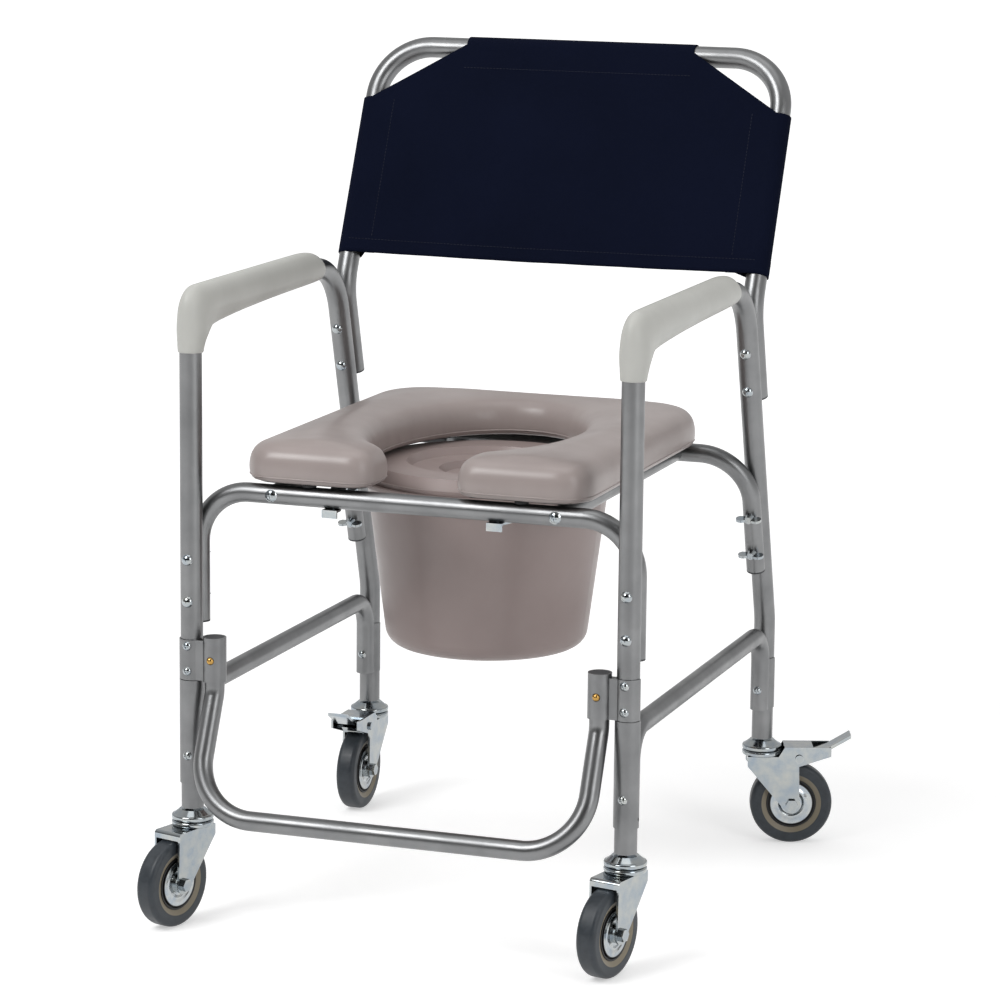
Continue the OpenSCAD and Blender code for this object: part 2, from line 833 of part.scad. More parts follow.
module button_place(side) {
    translate([side * foot_x, socket_y, socket_low_z + button_up]) rotate([90, 0, 0]) children();
}

module footrest_bar() {
    foot_angle = atan2(foot_reach, foot_kink_z - foot_bar_z);
    top_len = foot_top_z - foot_kink_z - setback(foot_kink_r, foot_angle);
    side_len = norm([foot_reach, foot_kink_z - foot_bar_z])
        - setback(foot_kink_r, foot_angle) - foot_corner_r;
    color(aluminium)
        difference() {
            translate([-foot_x, socket_y, foot_top_z])
                rotate([180, 0, -90])
                    bent_tube([[top_len, foot_kink_r, foot_angle, 0], [side_len, foot_corner_r, 90, -90],
                        [foot_spacing - 2 * foot_corner_r, foot_corner_r, 90, 0],
                        [side_len, foot_kink_r, foot_angle, 90], [top_len, 0, 0, 0]], bar_tube_d);
            for (side = [-1, 1])
                button_place(side) cylinder(d = button_d + 2 * running_fit, h = bar_tube_d);
        }
}

module footrest_plugs() {
    color(dark)
        for (side = [-1, 1])
            translate([side * foot_x, socket_y, foot_top_z]) rotate([180, 0, 0]) end_cap(bar_tube_d);
}

module snap_button(side) {
    flange_out = sqrt(pow(bar_bore_d / 2, 2) - pow(button_flange_d / 2, 2)) - seat_gap;
    shank_end = socket_d / 2 + button_proud;
    color(brass)
        button_place(side) {
            translate([0, 0, flange_out - button_flange_t])
                cylinder(d = button_flange_d, h = button_flange_t);
            translate([0, 0, flange_out - button_flange_t - button_tail])
                cylinder(d = button_d,
                    h = shank_end - button_proud - flange_out + button_flange_t + button_tail);
            translate([0, 0, shank_end - button_proud]) mirror([0, 0, 1]) dome(button_d, button_proud);
        }
}

// Bucket hangers: flat strips that bow out round the bucket, under both crossbars
hanger_top_z = bar_z - bar_r - tube_gap;

// A flat strip along a path of points, with mitred corners
function run_of(path, i) = (path[i + 1] - path[i]) / norm(path[i + 1] - path[i]);
function mitre(path, i) =
    let (a = run_of(path, max(i - 1, 0)), b = run_of(path, min(i, len(path) - 2)), m = a + b)
    [-m.y, m.x] * 2 / (m * m);

module strip(path, w)
    polygon([for (i = [0 : len(path) - 1]) path[i] + mitre(path, i) * w / 2,
        for (i = [len(path) - 1 : -1 : 0]) path[i] - mitre(path, i) * w / 2]);

module bucket_hanger(side) {
    x = side * hanger_x;
    wide_x = side * hanger_wide_x;
    front_y = bar_y - hanger_nose - hanger_t;
    color(zinc)
        difference() {
            translate([0, 0, hanger_top_z - hanger_t]) {
                linear_extrude(hanger_t)
                    strip([[x, front_y], [x, bar_y], [wide_x, -bucket_front - hanger_half_len],
                        [wide_x, hanger_half_len - bucket_front], [x, rear_bar_y],
                        [x, rear_bar_y + hanger_nose]], hanger_w);
                translate([x - hanger_w / 2, front_y, hanger_t - hanger_tab_h])
                    cube([hanger_w, hanger_t, hanger_tab_h]);
            }
            for (y = [bar_y, rear_bar_y])
                hanger_screw_places(y)
                    translate([0, 0, -bar_tube_d]) cylinder(d = screw_d + 2 * bolt_clear, h = bar_tube_d);
        }
}

module hanger_screws() {
    color(zinc)
        for (y = [bar_y, rear_bar_y])
            hanger_screw_places(y) screw(bar_z - hanger_top_z + hanger_t, bar_r);
}

// Bucket and lid, turned about the same axis
rim_z = hanger_top_z + seat_gap;
bucket_low_z = rim_z - bucket_depth;
bucket_slope = atan((bucket_top_r - bucket_base_r) / bucket_depth);

function bucket_wall_points(base_r, top_r, low, high, round) =
    let (reach = round * tan((90 - bucket_slope) / 2))
        concat([[0, low]],
            arc([base_r - reach, low + round], round, -90, -bucket_slope, corner_steps), [[top_r, high]]);

module bucket() {
    color(bucket_grey)
        translate([0, -bucket_front, 0])
            rotate_extrude()
                difference() {
                    polygon(concat(bucket_wall_points(bucket_base_r, bucket_top_r, bucket_low_z, rim_z,
                        bucket_round), [[rim_r, rim_z], [rim_r, rim_z + rim_h], [0, rim_z + rim_h]]));
                    polygon(concat(bucket_wall_points(
                        bucket_base_r - bucket_wall, bucket_top_r - bucket_wall,
                        bucket_low_z + bucket_wall, rim_z, bucket_round - bucket_wall),
                        [[bucket_top_r - bucket_wall, rim_z + rim_h + overrun],
                            [0, rim_z + rim_h + overrun]]));
                }
}

lid_low_z = rim_z + rim_h + seat_gap;

module bucket_lid() {
    r = rim_r - lid_inset;
    top = lid_low_z + lid_h;
    dish_r = r - lid_shoulder - lid_ring_w;
    dish = top - lid_dish_depth;
    well_r = dish_r - lid_step_w;
    well = dish - lid_well_depth;
    color(bucket_grey)
        translate([0, -bucket_front, 0])
            union() {
                rotate_extrude()
                    polygon([[0, well], [well_r - lid_draft, well], [well_r, dish],
                        [dish_r - lid_draft, dish], [dish_r, top], [r - lid_shoulder, top],
                        [r - bucket_wall, lid_low_z + lid_lip_h], [r, lid_low_z + lid_lip_h],
                        [r, lid_low_z],
                        [r - lid_shoulder + bucket_wall, lid_low_z],
                        [r - lid_shoulder - bucket_wall, top - bucket_wall],
                        [dish_r + bucket_wall, top - bucket_wall],
                        [dish_r - lid_draft + bucket_wall, dish - bucket_wall],
                        [well_r + bucket_wall, dish - bucket_wall],
                        [well_r - lid_draft + bucket_wall, well - bucket_wall], [0, well - bucket_wall]]);
                translate([-grip_w / 2, lid_draft / 2 - well_r, well - bucket_wall / 2])
                    cube([grip_w, 2 * well_r - lid_draft, lid_well_depth + bucket_wall / 2]);
            }
}

// Seat: one outline, drawn in by an inset, gives the board and each level of the padding
seat_z = bar_z + seat_drop;

function opening_side(inset) =
    let (half_w = opening_r + inset, half_len = opening_len + inset,
        last = -acos((mouth_w / 2 + inset) / half_w), n = corner_steps + edge_steps + 2)
        [for (i = [0 : n]) let (a = blend(90, last, i / n))
            [half_w * cos(a), half_len * sin(a) - opening_front]];

// Half the outline: the inner edge from the back of the opening to the mouth, then the outer edge
// from the front to the back, with as many points, so that the two edges pair off across the seat
function seat_half(inset) =
    let (w = seat_w / 2 - inset, c = max(seat_corner_r - inset, seat_gap),
        f = max(seat_front_r - inset, seat_gap),
        m = max(mouth_r - inset, seat_gap), front = inset - seat_front, back = seat_rear - inset)
        concat(
            opening_side(inset),
            arc([mouth_w / 2 + inset + m, front + m], m, 180, 270, front_steps - 1),
            arc([w - f, front + f], f, 270, 360, front_steps),
            [for (i = [1 : edge_steps]) [w, blend(front + f, back - c, i / (edge_steps + 1))]],
            arc([w - c, back - c], c, 0, 90, corner_steps),
            [[0, back]]);

function seat_outline(inset) =
    let (half = seat_half(inset), n = len(half))
        concat(half, [for (i = [n - 2 : -1 : 1]) [-half[i].x, half[i].y]]);

// The same point on the left half of the outline, and on the left half of the crown line
function left_point(v, n, far) = v == 0 || v == far ? v : n - v;
function left_ridge(v, ridge, pairs) = v == ridge ? v : v + pairs - 1;

module seat_base() {
    color(dark)
        translate([0, 0, seat_z]) linear_extrude(board_t) polygon(seat_outline(board_inset));
}

module seat_pad() {
    recess = board_inset - seat_gap;
    side_h = pad_h - pad_crown;
    recess_levels = 2;
    levels = len(pad_inset_shares) + recess_levels;
    half = seat_half(pad_soft_w);
    far = len(half) - 1;
    n = 2 * far;
    top = (levels - 1) * n;
    ridge = levels * n;
    pairs = len(half) / 2 - 1;
    sides = [for (up = [board_t + seat_gap, 0], p = seat_outline(recess)) [p.x, p.y, seat_z + up],
        for (i = [0 : levels - recess_levels - 1], p = seat_outline(pad_inset_shares[i] * pad_soft_w))
            [p.x, p.y, seat_z + pad_height_shares[i] * side_h]];
    crown = [for (m = [1, -1], j = [m > 0 ? 0 : 1 : pairs - 1])
        let (p = (half[j] + half[far - j]) / 2) [m * p.x, p.y, seat_z + pad_h]];
    right_top = concat(
        [for (j = [0 : pairs - 2])
            let (a = top + j, o = top + far - j, r = ridge + j)
                each [[a, r, r + 1], [a, r + 1, a + 1], [r, o, o - 1], [r, o - 1, r + 1]]],
        let (a = top + pairs - 1, o = top + far - pairs + 1, r = ridge + pairs - 1)
            [[a, r, a + 1], [r, o, o - 1], [r, o - 1, a + 1]]);
    left_top = [for (f = flip(right_top)) [for (v = f) v >= ridge ? left_ridge(v, ridge, pairs)
        : top + left_point(v - top, n, far)]];
    right_base = [for (j = [0 : pairs - 1])
        each [[j, j + 1, far - j - 1], [j, far - j - 1, far - j]]];
    left_base = [for (f = flip(right_base)) [for (v = f) left_point(v, n, far)]];
    color(seat_grey)
        polyhedron(concat(sides, crown),
            concat(wall_faces(levels, n, 0), right_top, left_top, right_base, left_base));
}

module seat_clip() {
    inner = bar_r + seat_gap;
    outer = seat_drop;
    rotate([90, 0, 90])
        translate([0, 0, -clip_w / 2])
            linear_extrude(clip_w)
                difference() {
                    union() {
                        circle(r = outer);
                        translate([-clip_block_w / 2, 0]) square([clip_block_w, outer]);
                    }
                    circle(r = inner);
                    polygon([[0, 0], 2 * outer * [-sin(clip_mouth_angle), -cos(clip_mouth_angle)],
                        2 * outer * [sin(clip_mouth_angle), -cos(clip_mouth_angle)]]);
                }
}

module seat_clips() {
    color(dark)
        for (side = [-1, 1]) translate([side * clip_spacing / 2, rear_bar_y, bar_z]) seat_clip();
}

module seat_bumpers() {
    color(dark)
        for (side = [-1, 1])
            translate([side * bumper_spacing / 2, bar_y, bar_z + bar_r + seat_gap])
                cylinder(d = bumper_d, h = seat_drop - bar_r - seat_gap);
}

// Casters. Local +X is the way each one trails.
module at_caster(i) {
    translate([caster_sides[i] * half_space, caster_rows[i] * half_base, 0]) children();
}

module headed(i) {
    at_caster(i) rotate(caster_angles[i]) children();
}

module rounded_disc(d, h, round, bore_d) {
    rotate_extrude()
        difference() {
            union() {
                square([d / 2 - round, h]);
                translate([0, round]) square([d / 2, h - 2 * round]);
                for (y = [round, h - round]) translate([d / 2 - round, y]) circle(r = round);
            }
            if (bore_d > 0) translate([0, -overrun]) square([bore_d / 2, h + 2 * overrun]);
        }
}

// Stem in the leg, hexagonal collar, upper swivel disc and the riveted kingpin
module caster_mount(i) {
    disc_z = leg_foot_z - collar_h - head_h;
    pin_z = crown_z - seat_gap;
    color(zinc)
        at_caster(i) {
            translate([0, 0, leg_foot_z]) cylinder(d = leg_bore_d - 2 * plug_fit, h = stem_len);
            translate([0, 0, leg_foot_z - collar_h]) cylinder(d = collar_d, h = collar_h, $fn = 6);
            translate([0, 0, disc_z]) rounded_disc(disc_d, head_h, disc_round, 0);
            translate([0, 0, disc_z + head_h])
                cylinder(d1 = disc_d - 2 * disc_round, d2 = cone_top_d, h = collar_h * cone_h_share);
            translate([0, 0, pin_z]) cylinder(d = kingpin_d, h = disc_z - pin_z);
            translate([0, 0, pin_z]) dome(rivet_d, rivet_h);
        }
}

function has_brake(i) = caster_rows[i] > 0;

// Outline of a fork cheek, seen from the side: crown, taper and axle boss
module plain_cheek() {
    lean = atan2(axle_z - crown_z, trail);
    across = cheek_boss_r * [-sin(lean), cos(lean)];
    axle = [trail, axle_z];
    polygon([[-cheek_back, crown_z + crown_t], [cheek_front, crown_z + crown_t],
        [cheek_front + cheek_round, crown_z - cheek_round], axle + across, axle - across,
        [-cheek_back, crown_z - cheek_round]]);
    translate(axle) circle(r = cheek_boss_r);
    translate([cheek_front, crown_z + crown_t - cheek_round]) circle(r = cheek_round);
}

// A fork without a brake has a turned-down apron above the tyre
function apron_arc(r, from, to) =
    arc([cheek_front + cheek_round - apron_r, crown_z + crown_t - apron_r], r, from, to, corner_steps);

module apron_cheek() {
    plain_cheek();
    polygon(concat([[0, crown_z], [0, crown_z + crown_t]], apron_arc(apron_r, 90, 0),
        [[cheek_front + cheek_round, crown_z - cheek_round]]));
}

module apron() {
    out = cheek_front + cheek_round;
    low = wheel_d + apron_clear;
    polygon(concat([[0, crown_z + crown_t]], apron_arc(apron_r, 90, 0), [[out, low], [out - cheek_t, low]],
        apron_arc(apron_r - cheek_t, 0, 90), [[0, crown_z + crown_t - cheek_t]]));
}

module braked_cheek() {
    plain_cheek();
    top = crown_z + horn_h;
    polygon([[cheek_back, crown_z], [cheek_back + cheek_round, top], [horn_len, top],
        [horn_len, top - horn_nose_h], [cheek_front + cheek_round, crown_z - cheek_round]]);
}

module caster_fork(i) {
    half = fork_gap / 2;
    full_w = fork_gap + 2 * cheek_t;
    color(zinc)
        headed(i)
            difference() {
                union() {
                    translate([0, 0, crown_z + crown_t])
                        rounded_disc(disc_d, race_h, disc_round, kingpin_d + 2 * running_fit);
                    translate([-cheek_back, -full_w / 2, crown_z])
                        cube([cheek_back + cheek_front - cheek_round, full_w, crown_t]);
                    for (y = [-half, half + cheek_t])
                        translate([0, y, 0])
                            rotate([90, 0, 0])
                                linear_extrude(cheek_t) {
                                    if (has_brake(i)) braked_cheek();
                                    else apron_cheek();
                                }
                    if (has_brake(i))
                        translate([cheek_back + cheek_round, -full_w / 2, crown_z + horn_h - cheek_t])
                            cube([horn_cover_len - cheek_back - cheek_round, full_w, cheek_t]);
                    else
                        translate([0, (full_w - cheek_t) / 2, 0])
                            rotate([90, 0, 0]) linear_extrude(full_w - cheek_t) apron();
                }
                translate([0, 0, crown_z - overrun])
                    cylinder(d = kingpin_d + 2 * running_fit, h = crown_t + race_h + 2 * overrun);
                translate([trail, full_w, axle_z])
                    rotate([90, 0, 0]) cylinder(d = axle_d + 2 * running_fit, h = 2 * full_w);
                if (has_brake(i))
                    translate([brake_x, full_w, wheel_d + brake_up])
                        rotate([90, 0, 0]) cylinder(d = brake_pin_d + 2 * running_fit, h = 2 * full_w);
            }
}

// A pin along local Y with a head at each end, outside the cheeks
module cheek_pin(d, head_d, head_h, sides) {
    full_w = fork_gap + 2 * cheek_t;
    rotate([90, 0, 0]) {
        translate([0, 0, -full_w / 2]) cylinder(d = d, h = full_w);
        for (z = [full_w / 2, -full_w / 2 - head_h])
            translate([0, 0, z]) cylinder(d = head_d, h = head_h, $fn = sides);
    }
}

module caster_axle(i) {
    color(zinc)
        headed(i) {
            translate([trail, 0, axle_z]) cheek_pin(axle_d, axle_head_d, axle_head_h, 6);
            if (has_brake(i))
                translate([brake_x, 0, wheel_d + brake_up])
                    cheek_pin(brake_pin_d, 2 * brake_pin_d, brake_pin_d / 2, $fn);
        }
}

// Wheel centre with a rim, a raised cover disc each side and a boss that reaches the cheeks
module caster_hub(i) {
    boss_h = fork_gap - 2 * hub_play;
    groove_r = (hub_d / 2 + hub_disc_d / 2) / 2;
    color(hub_grey)
        headed(i)
            translate([trail, 0, axle_z])
                rotate([90, 0, 0])
                    rotate_extrude()
                        difference() {
                            union() {
                                translate([0, -hub_rim_h / 2]) square([hub_d / 2, hub_rim_h]);
                                translate([0, -hub_disc_h / 2]) square([hub_disc_d / 2, hub_disc_h]);
                                translate([0, -boss_h / 2]) square([hub_boss_d / 2, boss_h]);
                            }
                            translate([0, -boss_h]) square([axle_d / 2 + running_fit, 2 * boss_h]);
                            for (end = [-1, 1])
                                translate([hub_disc_d / 2, end * hub_disc_h / 2 - hub_groove])
                                    square([groove_r - hub_disc_d / 2, 2 * hub_groove]);
                        }
}

module caster_tyre(i) {
    inner = hub_d / 2 + plug_fit;
    outer = wheel_d / 2;
    half = tyre_w / 2;
    color(tyre_grey)
        headed(i)
            translate([trail, 0, axle_z])
                rotate([90, 0, 0])
                    rotate_extrude()
                        union() {
                            polygon([[inner, tyre_bevel - half], [tyre_bevel_d / 2, -half],
                                [outer - tyre_round, -half], [outer - tyre_round, half],
                                [tyre_bevel_d / 2, half], [inner, half - tyre_bevel]]);
                            translate([outer - 2 * tyre_round, tyre_round - half])
                                square([2 * tyre_round, tyre_w - 2 * tyre_round]);
                            for (y = [tyre_round - half, half - tyre_round])
                                translate([outer - tyre_round, y]) circle(r = tyre_round);
                        }
}

// Pedal plate on its rivet, with the toe that presses on the tyre
module brake_pedal(i) {
    up = pedal_t * [0, 1];
    color(zinc)
        headed(i)
            translate([brake_x, pedal_w / 2, wheel_d + brake_up])
                rotate([90, 0, 0])
                    linear_extrude(pedal_w)
                        difference() {
                            union() {
                                circle(r = brake_boss_r);
                                polygon([[0, -brake_boss_r / 2], pedal_mid - up, pedal_tip - up, pedal_tip,
                                    pedal_mid, [0, brake_boss_r]]);
                                polygon([[-brake_boss_r / 2, -brake_boss_r / 2],
                                    [toe_reach, -toe_drop - toe_r], [toe_reach + toe_r, -toe_drop],
                                    [2 * toe_reach, 0], [0, brake_boss_r / 2]]);
                                translate([toe_reach, -toe_drop]) circle(r = toe_r);
                            }
                            circle(d = brake_pin_d + 2 * running_fit);
                        }
}

side_frame(-1);  // side_frame_left
side_frame(1);  // side_frame_right
lower_frame(-1);  // lower_frame_left
lower_frame(1);  // lower_frame_right
arm_pad(-1);  // arm_pad_left
arm_pad(1);  // arm_pad_right
front_crossbar();
rear_crossbar();
seat_rail(-1);  // seat_rail_left
seat_rail(1);  // seat_rail_right
rail_plugs();
rail_screws();
crossbar_bolts();
crossbar_nuts();
wing_bolts();
wing_nuts();
backrest_tube();
backrest_sling();
backrest_bolts();
backrest_nuts();
tube_end_caps();
footrest_bracket(-1);  // footrest_bracket_left
footrest_bracket(1);  // footrest_bracket_right
bracket_screws();
leg_screws();
bucket_hanger(-1);  // bucket_hanger_left
bucket_hanger(1);  // bucket_hanger_right
hanger_screws();
bucket();
bucket_lid();
seat_pad();
seat_base();
seat_clips();
seat_bumpers();
footrest_bar();
footrest_plugs();
snap_button(-1);  // snap_button_left
snap_button(1);  // snap_button_right
caster_mount(0);  // caster_mount_fl
caster_mount(1);  // caster_mount_fr
caster_mount(2);  // caster_mount_rl
caster_mount(3);  // caster_mount_rr
caster_fork(0);  // caster_fork_fl
caster_fork(1);  // caster_fork_fr
caster_fork(2);  // caster_fork_rl
caster_fork(3);  // caster_fork_rr
caster_axle(0);  // caster_axle_fl
caster_axle(1);  // caster_axle_fr
caster_axle(2);  // caster_axle_rl
caster_axle(3);  // caster_axle_rr
caster_hub(0);  // caster_hub_fl
caster_hub(1);  // caster_hub_fr
caster_hub(2);  // caster_hub_rl
caster_hub(3);  // caster_hub_rr
caster_tyre(0);  // caster_tyre_fl
caster_tyre(1);  // caster_tyre_fr
caster_tyre(2);  // caster_tyre_rl
caster_tyre(3);  // caster_tyre_rr
brake_pedal(2);  // brake_pedal_rl
brake_pedal(3);  // brake_pedal_rr
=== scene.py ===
# %% [markdown]
# # A shower commode chair on casters
#
# The chair's tubes, casters, bucket and fasteners come from CAD, already in their places. This lesson
# dresses that frame: it gives each part a finish made of nodes, and it makes the soft pieces again as
# what they are, a moulded seat, two arm covers and a cloth back.

# %% Load the frame
import json
import math

import bmesh
import bpy
from mathutils import Matrix, Vector
from mathutils.bvhtree import BVHTree


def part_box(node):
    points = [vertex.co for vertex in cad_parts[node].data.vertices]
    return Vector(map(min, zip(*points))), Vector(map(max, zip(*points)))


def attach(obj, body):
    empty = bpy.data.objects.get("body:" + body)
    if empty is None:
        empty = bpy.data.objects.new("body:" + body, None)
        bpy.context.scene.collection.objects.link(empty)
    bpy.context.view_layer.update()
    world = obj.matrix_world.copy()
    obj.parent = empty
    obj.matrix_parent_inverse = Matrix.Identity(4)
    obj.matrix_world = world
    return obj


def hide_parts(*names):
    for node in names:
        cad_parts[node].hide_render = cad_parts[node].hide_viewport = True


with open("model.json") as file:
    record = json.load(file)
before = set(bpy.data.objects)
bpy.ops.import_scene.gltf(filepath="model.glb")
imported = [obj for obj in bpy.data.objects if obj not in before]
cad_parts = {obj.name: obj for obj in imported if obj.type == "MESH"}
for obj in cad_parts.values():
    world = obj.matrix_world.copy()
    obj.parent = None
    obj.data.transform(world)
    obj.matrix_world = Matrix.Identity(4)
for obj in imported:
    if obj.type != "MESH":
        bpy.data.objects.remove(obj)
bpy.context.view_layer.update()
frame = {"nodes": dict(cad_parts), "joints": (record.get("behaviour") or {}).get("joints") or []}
nodes = frame["nodes"]
MM = 0.001

# %% [markdown]
# ## Camera
#
# A product photograph is taken from far away with a long lens, so that the legs stay nearly parallel.
# The camera's place and turn were found by matching wheels, tube ends and corners of the chair. We
# write them as an azimuth, a tilt and a small roll, and build the camera's axes from these.

# %% Camera
CAMERA_PLACE = Vector((1.4705, -4.1275, 1.2932))
CAMERA_AZIMUTH, CAMERA_TILT, CAMERA_ROLL = (math.radians(a) for a in (19.468, 10.822, 0.607))
CAMERA_LENS, SENSOR = 137.9, 36.0


def camera_turn():
    """The rotation whose columns are the camera's right, up and backward directions."""
    level = math.cos(CAMERA_TILT)
    ahead = Vector((-math.sin(CAMERA_AZIMUTH) * level, math.cos(CAMERA_AZIMUTH) * level,
                    -math.sin(CAMERA_TILT)))
    right = Vector((math.cos(CAMERA_AZIMUTH), math.sin(CAMERA_AZIMUTH), 0))
    turn = Matrix((right, right.cross(ahead), -ahead)).transposed()
    return turn @ Matrix.Rotation(CAMERA_ROLL, 3, "Z")


camera_data = bpy.data.cameras.new("camera")
camera_data.lens, camera_data.sensor_width = CAMERA_LENS, SENSOR
camera = bpy.data.objects.new("camera", camera_data)
camera.matrix_world = Matrix.Translation(CAMERA_PLACE) @ camera_turn().to_4x4()
bpy.context.scene.collection.objects.link(camera)
bpy.context.scene.camera = camera
print("camera at", [round(x, 3) for x in camera.location])

# %% [markdown]
# ## Node helpers
#
# Materials are node trees. A few small helpers keep the recipes short: one places a node and fills or
# links its sockets by name, two more place a Math or a Vector Math node, and others mix colours or move a
# value from one range to another.

# %% Node helpers
def place(tree, kind, settings=None, **sockets):
    """A new node of that kind. A socket's name is written with _ for each space."""
    node = tree.nodes.new(kind)
    for name, value in (settings or {}).items():
        setattr(node, name, value)
    for name, value in sockets.items():
        fill(tree, node.inputs[name.replace("_", " ")], value)
    return node


def fill(tree, socket, value):
    if isinstance(value, bpy.types.NodeSocket):
        tree.links.new(value, socket)
    else:
        socket.default_value = value


def maths(tree, operation, *values, kind="ShaderNodeMath"):
    """The result of a Math or Vector Math node."""
    node = tree.nodes.new(kind)
    node.operation = operation
    for socket, value in zip(node.inputs, values):
        fill(tree, socket, value)
    return node.outputs["Value" if operation in ("LENGTH", "DISTANCE", "DOT_PRODUCT") else 0]


def vectors(tree, operation, *values):
    return maths(tree, operation, *values, kind="ShaderNodeVectorMath")


def span(tree, value, low, high, new_low=0.0, new_high=1.0):
    """value, moved from the range low to high to a new one, and kept in it."""
    return place(tree, "ShaderNodeMapRange", Value=value, From_Min=low, From_Max=high,
                 To_Min=new_low, To_Max=new_high).outputs["Result"]


def mixed(tree, share, first, second):
    """A colour between two colours."""
    node = tree.nodes.new("ShaderNodeMix")
    node.data_type = "RGBA"
    for name, value in (("Factor_Float", share), ("A_Color", first), ("B_Color", second)):
        socket = next(s for s in node.inputs if s.identifier == name)
        if isinstance(value, tuple):
            value = (*value, 1.0)
        fill(tree, socket, value)
    return next(s for s in node.outputs if s.identifier == "Result_Color")


def new_material(name, **sockets):
    """A material with one Principled shader, and that shader."""
    material = bpy.data.materials.new(name)
    material.use_nodes = True
    tree = material.node_tree
    tree.nodes.clear()
    shader = place(tree, "ShaderNodeBsdfPrincipled", **sockets)
    output = place(tree, "ShaderNodeOutputMaterial", Surface=shader.outputs["BSDF"])
    output.is_active_output = True
    return material, tree, shader


def linear(r, g, b):
    """A screen colour, 0 to 255, as the linear colour that shaders use."""
    screen = (r / 255, g / 255, b / 255)
    return tuple(c / 12.92 if c <= 0.04045 else ((c + 0.055) / 1.055) ** 2.4 for c in screen)


print("node helpers ready")

# %% [markdown]
# ## Shared surface effects
#
# Nearly every real surface has three things that a flat colour lacks: a fine grain that breaks the
# reflection, slow mottling from handling and casting, and edges rubbed brighter than the faces. Each is
# a node group, built once and placed in each material with its own values. All of them read Object
# coordinates, so a pattern stays with its part when the part moves.

# %% Shared surface effects
def new_group(name, inputs, outputs):
    """An empty shader node group, with its input and output nodes."""
    tree = bpy.data.node_groups.new(name, "ShaderNodeTree")
    for label, kind, value in inputs:
        socket = tree.interface.new_socket(label, in_out="INPUT", socket_type=kind)
        socket.default_value = value
    for label, kind in outputs:
        tree.interface.new_socket(label, in_out="OUTPUT", socket_type=kind)
    return tree, tree.nodes.new("NodeGroupInput"), tree.nodes.new("NodeGroupOutput")


NUMBER, VECTOR = "NodeSocketFloat", "NodeSocketVector"
PER_METRE = 1000.0
MOTTLE_RANGE = (0.3, 0.7)
EDGE_RANGE = (0.99, 0.8)
PATCH_RANGE, PATCH_SHARES = (0.4, 0.6), (0.25, 1.0)


def make_grain_group():
    """Fine grain for bump, and slow mottling for colour and gloss."""
    tree, given, made = new_group("surface_grain",
                                  [("Grain Size", NUMBER, 1.0), ("Mottle Size", NUMBER, 60.0)],
                                  [("Grain", NUMBER), ("Mottle", NUMBER)])
    where = place(tree, "ShaderNodeTexCoord").outputs["Object"]
    grain_scale = maths(tree, "DIVIDE", PER_METRE, given.outputs["Grain Size"])
    mottle_scale = maths(tree, "DIVIDE", PER_METRE, given.outputs["Mottle Size"])
    grain = place(tree, "ShaderNodeTexNoise", Vector=where, Scale=grain_scale, Detail=3.0, Roughness=0.6)
    mottle = place(tree, "ShaderNodeTexNoise", Vector=where, Scale=mottle_scale, Detail=4.0, Roughness=0.55)
    fill(tree, made.inputs["Grain"], grain.outputs["Fac"])
    fill(tree, made.inputs["Mottle"], span(tree, mottle.outputs["Fac"], *MOTTLE_RANGE))
    return tree


def make_wear_group():
    """A mask of the edges, in patches: where a rounded normal differs from the true one."""
    tree, given, made = new_group("edge_wear", [("Radius", NUMBER, 0.001), ("Break Up", NUMBER, 8.0)],
                                  [("Mask", NUMBER)])
    rounded = place(tree, "ShaderNodeBevel", {"samples": 4}, Radius=given.outputs["Radius"])
    true = place(tree, "ShaderNodeNewGeometry").outputs["Normal"]
    alike = vectors(tree, "DOT_PRODUCT", rounded.outputs["Normal"], true)
    edge = span(tree, alike, *EDGE_RANGE)
    where = place(tree, "ShaderNodeTexCoord").outputs["Object"]
    scale = maths(tree, "DIVIDE", PER_METRE, given.outputs["Break Up"])
    noise = place(tree, "ShaderNodeTexNoise", Vector=where, Scale=scale, Detail=3.0)
    patchy = span(tree, noise.outputs["Fac"], *PATCH_RANGE, *PATCH_SHARES)
    fill(tree, made.inputs["Mask"], maths(tree, "MULTIPLY", edge, patchy))
    return tree


grain_group, wear_group = make_grain_group(), make_wear_group()


def use_group(tree, group, **sockets):
    """A group's node. A socket's name is written with _ for each space."""
    node = tree.nodes.new("ShaderNodeGroup")
    node.node_tree = group
    for name, value in sockets.items():
        fill(tree, node.inputs[name.replace("_", " ")], value)
    return node


def bump(tree, shader, height, strength, depth):
    """Links a height to the shader's normal. Depth is in millimetres."""
    node = place(tree, "ShaderNodeBump", Strength=strength, Distance=depth * MM, Height=height)
    fill(tree, shader.inputs["Normal"], node.outputs["Normal"])


print("groups:", [g.name for g in bpy.data.node_groups])

# %% [markdown]
# ## Metals
#
# The tubes are aluminium with a satin anodised skin: a soft highlight along each tube and a fine, even
# grain. The casters, bolts and strips are steel with bright zinc plating, smoother and a little blue, with
# a faint yellow in places from the passivating bath, and rubbed edges. The snap buttons are brass.

# %% Metals
METAL_EDGE = 0.8 * MM
METAL_BUMP = 0.25


def metal(name, dark, bright, gloss, grain_size, grain_depth, worn=None, mottle_size=45.0):
    """Mottled metal. gloss is the range of roughness, and worn the colour of rubbed edges."""
    material, tree, shader = new_material(name, Metallic=1.0)
    grain = use_group(tree, grain_group, Grain_Size=grain_size, Mottle_Size=mottle_size)
    colour = mixed(tree, grain.outputs["Mottle"], dark, bright)
    rough = span(tree, grain.outputs["Mottle"], 0.0, 1.0, gloss[1], gloss[0])
    if worn:
        edges = use_group(tree, wear_group, Radius=METAL_EDGE)
        colour = mixed(tree, edges.outputs["Mask"], colour, worn)
    fill(tree, shader.inputs["Base Color"], colour)
    fill(tree, shader.inputs["Roughness"], rough)
    bump(tree, shader, grain.outputs["Grain"], METAL_BUMP, grain_depth)
    return material


